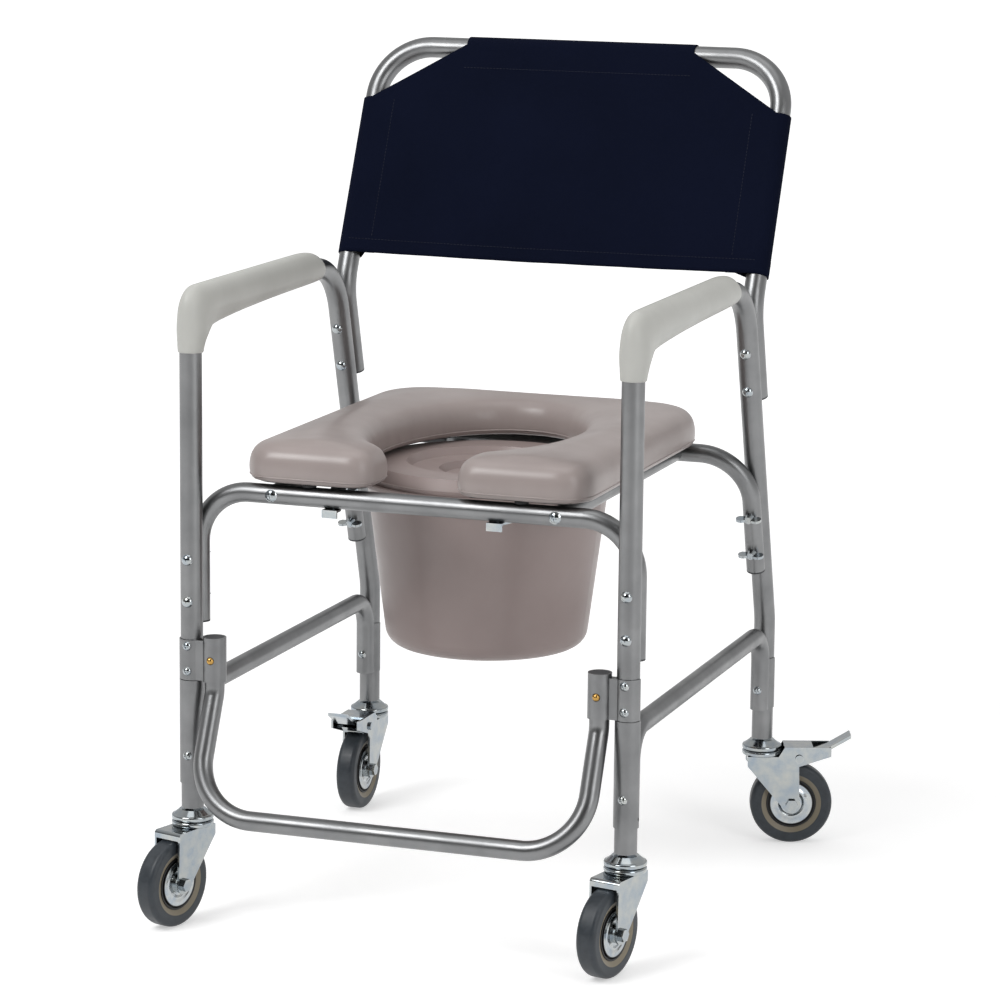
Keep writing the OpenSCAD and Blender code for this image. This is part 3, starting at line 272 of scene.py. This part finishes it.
aluminium = metal("satin_aluminium", (0.2, 0.203, 0.207), (0.245, 0.248, 0.251), (0.32, 0.41), 0.5, 0.02)
zinc = metal("zinc_plating", (0.3, 0.35, 0.4), (0.44, 0.45, 0.43), (0.1, 0.18), 1.2, 0.015,
             worn=(0.62, 0.64, 0.66), mottle_size=16.0)
brass = metal("button_brass", (0.45, 0.26, 0.07), (0.55, 0.34, 0.11), (0.2, 0.3), 0.6, 0.01,
              worn=(0.8, 0.6, 0.3))
print("metals:", aluminium.name, zinc.name, brass.name)

# %% [markdown]
# ## Plastics and foam skins
#
# The arm covers and the seat are moulded foam with a closed skin. The skin copies the mould, so it has
# a faint leathery grain and a broad, soft shine. The bucket and its lid are smoother, harder plastic.
# Plugs, clips and bumpers are dark and matt.

# %% Plastics and foam skins
SKIN_EDGE = 1.0 * MM
SKIN_BUMP = 0.3
SKIN_MOTTLE = 70.0


def skin(name, colour, shade, gloss, grain_size, grain_depth, worn=None):
    """A moulded skin: shade is its colour in the darker mottles, and gloss its range of roughness."""
    material, tree, shader = new_material(name)
    grain = use_group(tree, grain_group, Grain_Size=grain_size, Mottle_Size=SKIN_MOTTLE)
    tone = mixed(tree, grain.outputs["Mottle"], shade, colour)
    if worn:
        edges = use_group(tree, wear_group, Radius=SKIN_EDGE)
        tone = mixed(tree, edges.outputs["Mask"], tone, worn)
    rough = span(tree, grain.outputs["Mottle"], 0.0, 1.0, gloss[1], gloss[0])
    fill(tree, shader.inputs["Base Color"], tone)
    fill(tree, shader.inputs["Roughness"], rough)
    bump(tree, shader, grain.outputs["Grain"], SKIN_BUMP, grain_depth)
    return material


arm_skin = skin("arm_cover_skin", linear(194, 194, 189), linear(187, 187, 182), (0.42, 0.52), 1.6, 0.06)
seat_skin = skin("seat_foam_skin", linear(161, 150, 147), linear(154, 143, 140), (0.3, 0.38), 1.4, 0.03)
bucket_plastic = skin("bucket_plastic", linear(155, 140, 137), linear(149, 134, 131), (0.3, 0.4), 2.2, 0.03)
dark_plastic = skin("dark_plastic", linear(62, 63, 66), linear(50, 51, 54), (0.45, 0.6), 0.8, 0.05,
                    worn=linear(110, 111, 112))
board_plastic = skin("seat_board_plastic", linear(74, 72, 70), linear(62, 60, 59), (0.5, 0.65), 1.2, 0.08)
bumper_rubber = skin("bumper_rubber", linear(38, 38, 40), linear(30, 30, 32), (0.6, 0.75), 0.7, 0.05)
print("skins:", arm_skin.name, seat_skin.name, bucket_plastic.name)

# %% [markdown]
# ## Tyres and hubs
#
# The tyre is one grey rubber ring, with a duller tan band where it grips the hub and fine mould lines on
# its side. The hub is black at its rim, and a zinc plate with a pressed ring covers its middle. All these
# follow the distance from the axle, not the room's axes, so each wheel has its own materials that measure
# that distance from the joint that the wheel rolls on.

# %% Tyres and hubs
def make_axle_group():
    """Distance from a wheel's axle, in millimetres."""
    tree, given, made = new_group("axle_distance",
                                  [("Centre", VECTOR, (0, 0, 0)), ("Axle", VECTOR, (1, 0, 0))],
                                  [("Distance", NUMBER)])
    where = place(tree, "ShaderNodeTexCoord").outputs["Object"]
    arm = vectors(tree, "SUBTRACT", where, given.outputs["Centre"])
    across = vectors(tree, "CROSS_PRODUCT", arm, given.outputs["Axle"])
    metres = vectors(tree, "LENGTH", across)
    fill(tree, made.inputs["Distance"], maths(tree, "MULTIPLY", metres, PER_METRE))
    return tree


axle_group = make_axle_group()
WHEEL_GRAIN, WHEEL_MOTTLE = 0.9, 9.0
RUBBER_DARK, RUBBER_PALE, RUBBER_TAN = linear(40, 46, 52), linear(54, 60, 66), linear(138, 129, 111)
RUBBER_GLOSS = (0.38, 0.52)
TAN_BAND = (30.5, 36.5)
MOULD_LINE_PITCH, MOULD_LINE_SHARE = 1.6, 0.4
MOULD_LINE_DEPTH = 0.06
HUB_BLACK, HUB_GREY = linear(12, 12, 14), linear(20, 20, 22)
PLATE_DARK, PLATE_BRIGHT = (0.36, 0.41, 0.46), (0.52, 0.53, 0.51)
PLATE_RADIUS, PLATE_EDGE = 25.5, 0.3
PLATE_GLOSS, HUB_GLOSS = 0.2, 0.5
PRESSED_RING, PRESSED_SOFT, PRESSED_DEPTH = (14.5, 19.5), 1.6, 1.2


def band(tree, distance, low, high, soft=0.35):
    """1 between two distances, with soft edges."""
    rise = span(tree, distance, low - soft, low + soft)
    return maths(tree, "MULTIPLY", rise, span(tree, distance, high + soft, high - soft))


def tyre_finish(tree, shader, grain, distance):
    rubber = mixed(tree, grain.outputs["Mottle"], RUBBER_DARK, RUBBER_PALE)
    colour = mixed(tree, band(tree, distance, *TAN_BAND), rubber, RUBBER_TAN)
    fill(tree, shader.inputs["Base Color"], colour)
    fill(tree, shader.inputs["Roughness"], span(tree, grain.outputs["Mottle"], 0.0, 1.0, *RUBBER_GLOSS))
    ring = maths(tree, "SINE", maths(tree, "MULTIPLY", distance, math.tau / MOULD_LINE_PITCH))
    height = maths(tree, "ADD", maths(tree, "MULTIPLY", ring, MOULD_LINE_SHARE), grain.outputs["Grain"])
    bump(tree, shader, height, SKIN_BUMP, MOULD_LINE_DEPTH)


def hub_finish(tree, shader, grain, distance):
    plate = span(tree, distance, PLATE_RADIUS + PLATE_EDGE, PLATE_RADIUS - PLATE_EDGE)
    black = mixed(tree, grain.outputs["Mottle"], HUB_BLACK, HUB_GREY)
    plating = mixed(tree, grain.outputs["Mottle"], PLATE_DARK, PLATE_BRIGHT)
    fill(tree, shader.inputs["Base Color"], mixed(tree, plate, black, plating))
    fill(tree, shader.inputs["Metallic"], plate)
    fill(tree, shader.inputs["Roughness"], span(tree, plate, 0.0, 1.0, HUB_GLOSS, PLATE_GLOSS))
    bump(tree, shader, band(tree, distance, *PRESSED_RING, soft=PRESSED_SOFT), 1.0, PRESSED_DEPTH)


WHEEL_FINISHES = {"tyre": tyre_finish, "hub": hub_finish}


def wheel_material(corner, joint, piece):
    material, tree, shader = new_material(f"{piece}_{corner}")
    grain = use_group(tree, grain_group, Grain_Size=WHEEL_GRAIN, Mottle_Size=WHEEL_MOTTLE)
    axle = use_group(tree, axle_group, Centre=joint["pos_m"], Axle=joint["axis"])
    WHEEL_FINISHES[piece](tree, shader, grain, axle.outputs["Distance"])
    return material


CORNERS = ("fl", "fr", "rl", "rr")
joints = {j["name"]: j for j in frame["joints"]}
wheel_materials = {f"caster_{piece}_{corner}": wheel_material(corner, joints[f"roll_{corner}"], piece)
                   for corner in CORNERS for piece in WHEEL_FINISHES}
print("wheel materials:", len(wheel_materials))

# %% [markdown]
# ## Give each CAD part its finish
#
# A table from the start of a part's name to its finish covers the whole frame. The first entry that
# fits is used, and a part that no entry names stops the script.

# %% Give each CAD part its finish
FINISHES = (
    ("side_frame", aluminium), ("lower_frame", aluminium), ("front_crossbar", aluminium),
    ("rear_crossbar", aluminium), ("seat_rail", aluminium), ("backrest_tube", aluminium),
    ("footrest_bracket", aluminium), ("footrest_bar", aluminium),
    ("arm_pad", arm_skin), ("seat_pad", seat_skin), ("bucket_hanger", zinc), ("bucket", bucket_plastic),
    ("seat_base", board_plastic), ("seat_clips", dark_plastic), ("seat_bumpers", bumper_rubber),
    ("rail_plugs", dark_plastic), ("tube_end_caps", dark_plastic), ("footrest_plugs", dark_plastic),
    ("snap_button", brass), ("rail_screws", zinc), ("crossbar", zinc), ("wing", zinc),
    ("backrest_bolts", zinc), ("backrest_nuts", zinc), ("backrest_sling", dark_plastic),
    ("bracket_screws", zinc), ("leg_screws", zinc), ("hanger_screws", zinc),
    ("caster_mount", zinc), ("caster_fork", zinc), ("caster_axle", zinc), ("brake_pedal", zinc),
)


def finish_of(name):
    return wheel_materials.get(name) or next(m for start, m in FINISHES if name.startswith(start))


def dress(piece, material):
    piece.data.materials.clear()
    piece.data.materials.append(material)


for name, piece in nodes.items():
    dress(piece, finish_of(name))
print("finishes given:", len(nodes))

# %% [markdown]
# ## The moulded seat
#
# The seat is a horseshoe of foam, moulded in one piece with its skin, and its skirt hides the board under
# it. A mould leaves no facets, so we take the CAD solid, remesh its surface evenly, and let the new points
# relax towards their neighbours until the facets melt into one smooth skin.

# %% Seat helpers
JOIN_WITHIN = 0.02 * MM


def copy_of(node, name):
    """A new piece with the CAD node's shape, its loose triangles joined."""
    piece = bpy.data.objects.new(name, nodes[node].data.copy())
    bpy.context.scene.collection.objects.link(piece)
    bm = bmesh.new()
    bm.from_mesh(piece.data)
    bmesh.ops.remove_doubles(bm, verts=bm.verts, dist=JOIN_WITHIN)
    bmesh.ops.recalc_face_normals(bm, faces=bm.faces)
    bm.to_mesh(piece.data)
    bm.free()
    piece.data.update()
    return piece


def applied(piece):
    """Makes the piece's modifiers part of its mesh."""
    shown = piece.evaluated_get(bpy.context.evaluated_depsgraph_get())
    mesh = bpy.data.meshes.new_from_object(shown)
    piece.modifiers.clear()
    old, piece.data = piece.data, mesh
    bpy.data.meshes.remove(old)


def smooth(piece):
    piece.data.polygons.foreach_set("use_smooth", [True] * len(piece.data.polygons))
    piece.data.update()


def subdivided(piece, levels):
    modifier = piece.modifiers.new("subdivision", "SUBSURF")
    modifier.levels = modifier.render_levels = levels
    smooth(piece)


SEAT_VOXEL = 5 * MM
RELAX_SHARE, RELAX_ROUNDS = 0.5, 8
seat_low, seat_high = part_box("seat_pad")
print("seat pad from", [round(x, 3) for x in seat_low], "to", [round(x, 3) for x in seat_high])

# %% Relax the seat's skin
seat_cushion = copy_of("seat_pad", "seat_cushion")
remesh = seat_cushion.modifiers.new("even", "REMESH")
remesh.mode, remesh.voxel_size = "VOXEL", SEAT_VOXEL
relax = seat_cushion.modifiers.new("relax", "SMOOTH")
relax.factor, relax.iterations = RELAX_SHARE, RELAX_ROUNDS
applied(seat_cushion)
dress(seat_cushion, seat_skin)
subdivided(seat_cushion, 1)
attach(seat_cushion, "seat")
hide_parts("seat_pad")
print("seat cushion points:", len(seat_cushion.data.vertices))

# %% [markdown]
# ## The seat's parting line
#
# Where the two halves of the mould met, a fine raised line runs round the seat just above its underside.
# A cut through the finished cushion gives that line's path exactly, and a thin round bead on the path
# is the line.

# %% The seat's parting line
PARTING_UP = 7.5 * MM
BEAD_RADIUS, BEAD_STEPS = 0.9 * MM, 2
CUT_WITHIN = 0.001 * MM
PATH_STEP = 0.3 * MM


def cut_path(piece, height):
    """The edges where a level plane cuts the finished piece, as a new wire mesh."""
    shown = piece.evaluated_get(bpy.context.evaluated_depsgraph_get())
    bm = bmesh.new()
    bm.from_mesh(shown.to_mesh())
    cut = bmesh.ops.bisect_plane(bm, geom=bm.verts[:] + bm.edges[:] + bm.faces[:], dist=CUT_WITHIN,
                                 plane_co=(0, 0, height), plane_no=(0, 0, 1))
    kept = {e for e in cut["geom_cut"] if isinstance(e, bmesh.types.BMVert)}
    bmesh.ops.delete(bm, geom=[v for v in bm.verts if v not in kept], context="VERTS")
    bmesh.ops.delete(bm, geom=bm.faces[:], context="FACES_ONLY")
    bmesh.ops.remove_doubles(bm, verts=bm.verts, dist=PATH_STEP)
    mesh = bpy.data.meshes.new("cut_path")
    bm.to_mesh(mesh)
    bm.free()
    shown.to_mesh_clear()
    return mesh


def bead(mesh, name, radius):
    """A round bead along the edges of a wire mesh."""
    wire = bpy.data.objects.new(name, mesh)
    bpy.context.scene.collection.objects.link(wire)
    for other in bpy.context.selected_objects:
        other.select_set(False)
    bpy.context.view_layer.objects.active = wire
    wire.select_set(True)
    bpy.ops.object.convert(target="CURVE")
    wire.data.bevel_depth, wire.data.bevel_resolution = radius, BEAD_STEPS
    bpy.ops.object.convert(target="MESH")
    wire.select_set(False)
    smooth(wire)
    return wire


parting_line = bead(cut_path(seat_cushion, seat_low.z + PARTING_UP), "seat_parting_line", BEAD_RADIUS)
dress(parting_line, seat_skin)
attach(parting_line, "seat")
print("parting line points:", len(parting_line.data.vertices))

# %% [markdown]
# ## Arm covers
#
# Each arm cover is moulded foam, pushed over the front bend of the arm. The CAD solid is a ring of
# stations along the tube. We join its triangles back into quads and let subdivision round them, so the
# bulge over the bend and the thin end lips come out smooth. Under the bend the stations crowd together,
# and there the outer skin is relaxed as the seat's was.

# %% Arm covers
QUAD_LIMIT = math.radians(60)
COVER_LEVELS = 2
LEG_Y, ARM_Z = -274 * MM, 702 * MM
SKIN_OFF = (1.5 * MM, 4 * MM)
UNDER_BEND = (4 * MM, 11 * MM)
LIP_KEPT = (1 * MM, 6 * MM)
EASE_ROUNDS = 260


def ramp(value, low, high):
    return min(max((value - low) / (high - low), 0.0), 1.0)


def ease_under_bend(cover, tube):
    """Relaxes the outer skin under the bend. The bore and the end lip stay as they are."""
    mesh = nodes[tube].data
    surface = BVHTree.FromPolygons([v.co for v in mesh.vertices],
                                   [p.vertices[:] for p in mesh.polygons])
    end = min(v.co.z for v in cover.data.vertices)
    group = cover.vertex_groups.new(name="under_bend")
    for v in cover.data.vertices:
        _, _, _, gap = surface.find_nearest(v.co)
        off_tube = ramp(gap, *SKIN_OFF)
        under = ramp(min(v.co.y - LEG_Y, ARM_Z - v.co.z), *UNDER_BEND)
        group.add([v.index], off_tube * under * ramp(v.co.z - end, *LIP_KEPT), "REPLACE")
    ease = cover.modifiers.new("ease", "SMOOTH")
    ease.factor, ease.iterations = RELAX_SHARE, EASE_ROUNDS
    ease.vertex_group = group.name
    applied(cover)
    cover.vertex_groups.clear()


def arm_cover(side):
    cover = copy_of(f"arm_pad_{side}", f"arm_cover_{side}")
    bm = bmesh.new()
    bm.from_mesh(cover.data)
    bmesh.ops.join_triangles(bm, faces=bm.faces, angle_face_threshold=QUAD_LIMIT,
                             angle_shape_threshold=QUAD_LIMIT)
    bm.to_mesh(cover.data)
    bm.free()
    subdivided(cover, COVER_LEVELS)
    applied(cover)
    ease_under_bend(cover, f"side_frame_{side}")
    dress(cover, arm_skin)
    smooth(cover)
    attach(cover, "frame")
    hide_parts(f"arm_pad_{side}")
    return cover


arm_covers = [arm_cover(side) for side in ("left", "right")]
print("arm covers:", [len(c.data.polygons) for c in arm_covers], "faces")

# %% [markdown]
# ## The cloth back
#
# The back is one piece of dark woven cloth. Its two sides wrap round the side tubes and its top round the
# top bar, and each flap is sewn to the back of the panel. The corners are cut off, so the bends of the
# tube stay bare. We cut the flat cloth first, as a sewer does: a grid, cut along the lines of the pattern,
# with the corners deleted. Then each point is wrapped to its place.

# %% The pattern, flat
HALF_SPACE = 258 * MM
BACK_KINK = Vector((0, 185.18 * MM, 671 * MM))
BACK_RECLINE = math.radians(25)
BACK_LEN = 312 * MM
CLOTH_LOW, CLOTH_SIDE_TOP, CLOTH_TOP_HALF = 40 * MM, 240 * MM, 145 * MM
WRAP_RADIUS = 14.1 * MM
WRAP_PAST = math.radians(60)
CLOTH_THICK = 0.8 * MM
SEAM_FLAT = 12 * MM
HEM = 20 * MM
CLOTH_STEP = 6 * MM
LAYER_GAP = 1.3
CLOTH_CUT, CLOTH_JOIN = 0.0001 * MM, 0.05 * MM
wrap_arc = WRAP_RADIUS * (math.pi + WRAP_PAST)
wrap_line = (WRAP_RADIUS * (1 + math.cos(WRAP_PAST)) - CLOTH_THICK * LAYER_GAP) / math.sin(WRAP_PAST)
flap = wrap_arc + wrap_line + SEAM_FLAT
cloth_width = 2 * (HALF_SPACE + flap)


def cloth_pattern():
    """The flat cloth: x across, y up from the kink of the tubes."""
    low, high = CLOTH_LOW - HEM, BACK_LEN + flap
    spread = (Matrix.Translation((0, (low + high) / 2, 0))
              @ Matrix.Diagonal((cloth_width, high - low, 1, 1)))
    bm = bmesh.new()
    bmesh.ops.create_grid(bm, x_segments=round(cloth_width / CLOTH_STEP),
                          y_segments=round((high - low) / CLOTH_STEP), size=0.5, matrix=spread)
    slope = Vector((BACK_LEN - CLOTH_SIDE_TOP, HALF_SPACE - CLOTH_TOP_HALF, 0)).normalized()
    lines = [((0, level, 0), (0, 1, 0)) for level in (CLOTH_SIDE_TOP, BACK_LEN, CLOTH_LOW)]
    for side in (-1, 1):
        turn = Vector((side, 1, 0))
        lines += [((side * HALF_SPACE, 0, 0), (1, 0, 0)), ((side * CLOTH_TOP_HALF, 0, 0), (1, 0, 0)),
                  ((side * HALF_SPACE, CLOTH_SIDE_TOP, 0), slope * turn)]
    for point, normal in lines:
        bmesh.ops.bisect_plane(bm, geom=bm.verts[:] + bm.edges[:] + bm.faces[:], dist=CLOTH_CUT,
                               plane_co=point, plane_no=normal)
    corners = [f for f in bm.faces if cut_away(f.calc_center_median(), slope)]
    bmesh.ops.delete(bm, geom=corners, context="FACES")
    bmesh.ops.remove_doubles(bm, verts=bm.verts, dist=CLOTH_JOIN)
    return bm


def cut_away(p, slope):
    """Is this point of the flat cloth in one of the corners that are cut off?"""
    x = abs(p.x)
    if p.y > BACK_LEN:
        return x > CLOTH_TOP_HALF
    if x > HALF_SPACE:
        return p.y > CLOTH_SIDE_TOP
    return slope.dot(Vector((x - HALF_SPACE, p.y - CLOTH_SIDE_TOP, 0))) > 0


pattern = cloth_pattern()
cut_area = sum(f.calc_area() for f in pattern.faces)
print("cloth area", round(cut_area, 4), "m2")

# %% Wrap the cloth round the tubes
SAG, SAG_RISE = 5 * MM, 1.6
RIPPLE = 0.8 * MM
RIPPLE_SHORT, RIPPLE_LONG, RIPPLE_SLANT, RIPPLE_START = 55, 23, 9, 1.3
HEM_TURN, HEM_DROP, HEM_GAP = 2 * MM, 0.4 * MM, 1.15


def wrapped(past):
    """A flap's place, past the tube's front: how far out, and how far back from the tube's axis."""
    if past <= 0:
        return past, -WRAP_RADIUS
    angle = min(past, wrap_arc) / WRAP_RADIUS
    out, back = WRAP_RADIUS * math.sin(angle), -WRAP_RADIUS * math.cos(angle)
    along = min(max(past - wrap_arc, 0), wrap_line)
    out -= along * math.cos(WRAP_PAST)
    back -= along * math.sin(WRAP_PAST)
    return out - max(past - wrap_arc - wrap_line, 0), back


def belly(x, up):
    """How far the panel gives between the tubes, and its slight pulls above the lower hem."""
    across = max(0.0, 1 - (x / (HALF_SPACE - WRAP_RADIUS)) ** 2)
    height = max(0.0, (BACK_LEN - up) / (BACK_LEN - CLOTH_LOW))
    hang = SAG * across * min(1.0, height * SAG_RISE)
    waves = math.sin(x * RIPPLE_SHORT + RIPPLE_SLANT * up) * math.sin(x * RIPPLE_LONG - RIPPLE_START)
    return hang + RIPPLE * waves * across * height


def on_chair(p):
    """From the flat pattern to the chair. The lower hem turns up behind the panel."""
    up, behind = p.y, 0.0
    if up < CLOTH_LOW:
        turned = min((CLOTH_LOW - up) / HEM_TURN, 1.0)
        behind = CLOTH_THICK * HEM_GAP * turned
        up = 2 * CLOTH_LOW - up if turned >= 1 else CLOTH_LOW - HEM_DROP * turned
    side_out, side_back = wrapped(abs(p.x) - HALF_SPACE)
    top_out, top_back = wrapped(up - BACK_LEN)
    x = math.copysign(HALF_SPACE + side_out, p.x)
    depth = side_back if abs(p.x) > HALF_SPACE else top_back
    z = BACK_LEN + top_out
    give = belly(x, z) if abs(x) < HALF_SPACE - WRAP_RADIUS else 0.0
    return back_place(Vector((x, depth + give + behind, z)))


def back_place(p):
    """From the leaning plane of the back to the chair."""
    return BACK_KINK + Matrix.Rotation(-BACK_RECLINE, 3, "X") @ p


uv = pattern.loops.layers.uv.new("cloth")
for face in pattern.faces:
    for loop in face.loops:
        loop[uv].uv = (loop.vert.co.x, loop.vert.co.y)
for v in pattern.verts:
    v.co = on_chair(v.co)
bmesh.ops.recalc_face_normals(pattern, faces=pattern.faces)
back_mesh = bpy.data.meshes.new("back_cloth")
pattern.to_mesh(back_mesh)
pattern.free()
back_cloth = bpy.data.objects.new("back_cloth", back_mesh)
bpy.context.scene.collection.objects.link(back_cloth)
solid = back_cloth.modifiers.new("thickness", "SOLIDIFY")
solid.thickness, solid.offset = CLOTH_THICK, 0.0
smooth(back_cloth)
print("cloth faces:", len(back_mesh.polygons))

# %% [markdown]
# ## Weave
#
# The cloth is a plain weave of fine synthetic yarn. Two sets of waves on the cloth's own UV map make it,
# one for the warp and one for the weft, and a checker of the two decides which yarn lies on top. The UV
# map is the flat pattern in metres, so the yarns follow the cloth round the tubes.

# %% Weave
YARN_PITCH = 1.1
YARN_DARK, YARN_PALE, YARN_FADED = linear(8, 12, 26), linear(15, 20, 38), linear(17, 22, 42)
FADE_SHARE, FUZZ_SHARE = 0.35, 0.3
FUZZ_RANGE, CLOTH_GLOSS = (0.3, 0.7), (0.72, 0.88)
WEAVE_BUMP, WEAVE_DEPTH = 0.5, 0.15
weave_material, tree, shader = new_material("navy_weave", Specular_IOR_Level=0.03)
where = place(tree, "ShaderNodeUVMap", {"uv_map": "cloth"}).outputs["UV"]
parts = place(tree, "ShaderNodeSeparateXYZ", Vector=where)
turns = math.tau / (YARN_PITCH * MM)
warp = maths(tree, "SINE", maths(tree, "MULTIPLY", parts.outputs["X"], turns))
weft = maths(tree, "SINE", maths(tree, "MULTIPLY", parts.outputs["Y"], turns))
weave = maths(tree, "MULTIPLY", warp, weft)
grain = use_group(tree, grain_group, Grain_Size=2.5, Mottle_Size=120.0)
yarn = span(tree, weave, -1.0, 1.0)
tone = mixed(tree, yarn, YARN_DARK, YARN_PALE)
faded = mixed(tree, maths(tree, "MULTIPLY", grain.outputs["Mottle"], FADE_SHARE), tone, YARN_FADED)
fill(tree, shader.inputs["Base Color"], faded)
fill(tree, shader.inputs["Roughness"], span(tree, grain.outputs["Grain"], *FUZZ_RANGE, *CLOTH_GLOSS))
fuzz = maths(tree, "MULTIPLY", grain.outputs["Grain"], FUZZ_SHARE)
bump(tree, shader, maths(tree, "ADD", yarn, fuzz), WEAVE_BUMP, WEAVE_DEPTH)
dress(back_cloth, weave_material)
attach(back_cloth, "frame")
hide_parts("backrest_sling")
print("weave ready")

# %% [markdown]
# ## Stitching
#
# Lines of lockstitch hold the flaps and the hem. A stitch is a short thread that dips into the cloth at
# both ends. One stitch is a stretched ball of few faces, and it is repeated along each seam line of the
# pattern, turned to follow the cloth.

# %% Stitching
STITCH_PITCH, STITCH_LEN, STITCH_THICK = 4.2 * MM, 3.2 * MM, 0.75 * MM
HEM_ROW_SHARE = 0.8
SEAM_END = 2 * MM
thread_material = skin("navy_thread", linear(19, 24, 42), linear(15, 19, 36), (0.7, 0.85), 0.6, 0.05)


def seam_points(start, end):
    """Points along a line of the flat pattern, a stitch apart."""
    start, end = Vector(start), Vector(end)
    count = int((end - start).length / STITCH_PITCH)
    return [start.lerp(end, (i + 0.5) / count) for i in range(count)]


def stitched(bm, start, end):
    along = (Vector(end) - Vector(start)).normalized()
    side = Vector((-along.y, along.x, 0))
    for p in seam_points(start, end):
        here = on_chair(p)
        run = (on_chair(p + along * MM) - here).normalized()
        across = (on_chair(p + side * MM) - here).normalized()
        out = run.cross(across).normalized()
        turn = Matrix((run, out.cross(run), out)).transposed().to_4x4()
        shape = Matrix.Diagonal((STITCH_LEN / 2, STITCH_THICK / 2, STITCH_THICK / 2, 1))
        seat = Matrix.Translation(here + out * (CLOTH_THICK / 2))
        bmesh.ops.create_uvsphere(bm, u_segments=6, v_segments=4, radius=1.0,
                                  matrix=seat @ turn @ shape)


seam_in = WRAP_RADIUS * math.sin(WRAP_PAST) + wrap_line * math.cos(WRAP_PAST) + SEAM_FLAT / 2
bm = bmesh.new()
hem_row = CLOTH_LOW + HEM * HEM_ROW_SHARE
stitched(bm, (-HALF_SPACE, hem_row, 0), (HALF_SPACE, hem_row, 0))
stitched(bm, (-CLOTH_TOP_HALF, BACK_LEN - seam_in, 0), (CLOTH_TOP_HALF, BACK_LEN - seam_in, 0))
for side in (-1, 1):
    x = side * (HALF_SPACE - seam_in)
    stitched(bm, (x, CLOTH_LOW + HEM, 0), (x, CLOTH_SIDE_TOP - SEAM_END, 0))
stitch_mesh = bpy.data.meshes.new("back_stitching")
bm.to_mesh(stitch_mesh)
bm.free()
stitching = bpy.data.objects.new("back_stitching", stitch_mesh)
bpy.context.scene.collection.objects.link(stitching)
smooth(stitching)
dress(stitching, thread_material)
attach(stitching, "frame")
print("stitching faces:", len(stitch_mesh.polygons))

# %% [markdown]
# ## Floor and light
#
# A cut-out product picture stands on white. The floor is pale and matt, and for the eye and for reflections
# it adds a little of its own light, so it turns white while the chair's shadow stays: more where the lamps
# don't reach, and less in the photographer's own shade. The light is a plain studio: a grey surround, a
# large soft key from above the camera's left, a weaker fill and a top light. The room behind the
# photographer is dark, and the tubes show that as a dark streak along their fronts.

# %% Floor
FLOOR_SIZE = 60.0
FLOOR_COLOUR = (0.8, 0.8, 0.8, 1.0)
FLOOR_GLOW = (0.46, 0.78)
GLOW_REACH = (0.8, 3.5)
PHOTOGRAPHER = (0.9, -2.7, 0.0)
SHADE = (0.4, 1.0)
SHADE_REACH = (0.5, 2.6)

floor_mesh = bpy.data.meshes.new("floor")
bm = bmesh.new()
bmesh.ops.create_grid(bm, x_segments=1, y_segments=1, size=FLOOR_SIZE / 2)
bm.to_mesh(floor_mesh)
bm.free()
floor = bpy.data.objects.new("floor", floor_mesh)
bpy.context.scene.collection.objects.link(floor)
floor_material = bpy.data.materials.new("white_floor")
floor_material.use_nodes = True
tree = floor_material.node_tree
tree.nodes.clear()
rays = place(tree, "ShaderNodeLightPath")
where = place(tree, "ShaderNodeTexCoord").outputs["Object"]
far = span(tree, vectors(tree, "LENGTH", where), *GLOW_REACH, *FLOOR_GLOW)
shade = span(tree, vectors(tree, "DISTANCE", where, PHOTOGRAPHER), *SHADE_REACH, *SHADE)
strength = maths(tree, "MULTIPLY", far, shade)
seen = maths(tree, "MAXIMUM", rays.outputs["Is Camera Ray"],
             maths(tree, "MAXIMUM", rays.outputs["Is Glossy Ray"], rays.outputs["Is Transmission Ray"]))
glow = place(tree, "ShaderNodeEmission", Strength=maths(tree, "MULTIPLY", seen, strength))
matt = place(tree, "ShaderNodeBsdfDiffuse", Color=FLOOR_COLOUR)
both = tree.nodes.new("ShaderNodeAddShader")
tree.links.new(matt.outputs["BSDF"], both.inputs[0])
tree.links.new(glow.outputs["Emission"], both.inputs[1])
place(tree, "ShaderNodeOutputMaterial", Surface=both.outputs["Shader"])
dress(floor, floor_material)
print("floor:", FLOOR_SIZE, "m across")

# %% Light
def softbox(name, place_at, aim, size, power):
    """A soft rectangular lamp, aimed at a point. Size in metres, power in watts."""
    lamp = bpy.data.lights.new(name, "AREA")
    lamp.shape, lamp.size, lamp.size_y, lamp.energy = "RECTANGLE", *size, power
    holder = bpy.data.objects.new(name, lamp)
    holder.location = place_at
    holder.rotation_euler = (Vector(aim) - Vector(place_at)).to_track_quat("-Z", "Y").to_euler()
    bpy.context.scene.collection.objects.link(holder)


SURROUND = (0.02, 0.62)
SURROUND_REACH = (-0.85, 0.1)
world = bpy.data.worlds.new("studio")
bpy.context.scene.world = world
world.use_nodes = True
tree = world.node_tree
backdrop = tree.nodes["Background"]
backdrop.inputs["Color"].default_value = (1, 1, 1, 1)
direction = place(tree, "ShaderNodeTexCoord").outputs["Generated"]
ahead = place(tree, "ShaderNodeSeparateXYZ", Vector=direction).outputs["Y"]
fill(tree, backdrop.inputs["Strength"], span(tree, ahead, *SURROUND_REACH, *SURROUND))
CHAIR_MIDDLE = (0, 0, 0.55)
LAMPS = (("key", (-1.4, -2.4, 2.9), (1.6, 1.6), 72), ("fill", (2.6, -1.6, 1.6), (1.2, 2.0), 26),
         ("top", (0, -0.3, 3.2), (2.4, 1.6), 14))
for name, place_at, size, power in LAMPS:
    softbox(name, place_at, CHAIR_MIDDLE, size, power)
scene = bpy.context.scene
scene.view_settings.view_transform = "Standard"
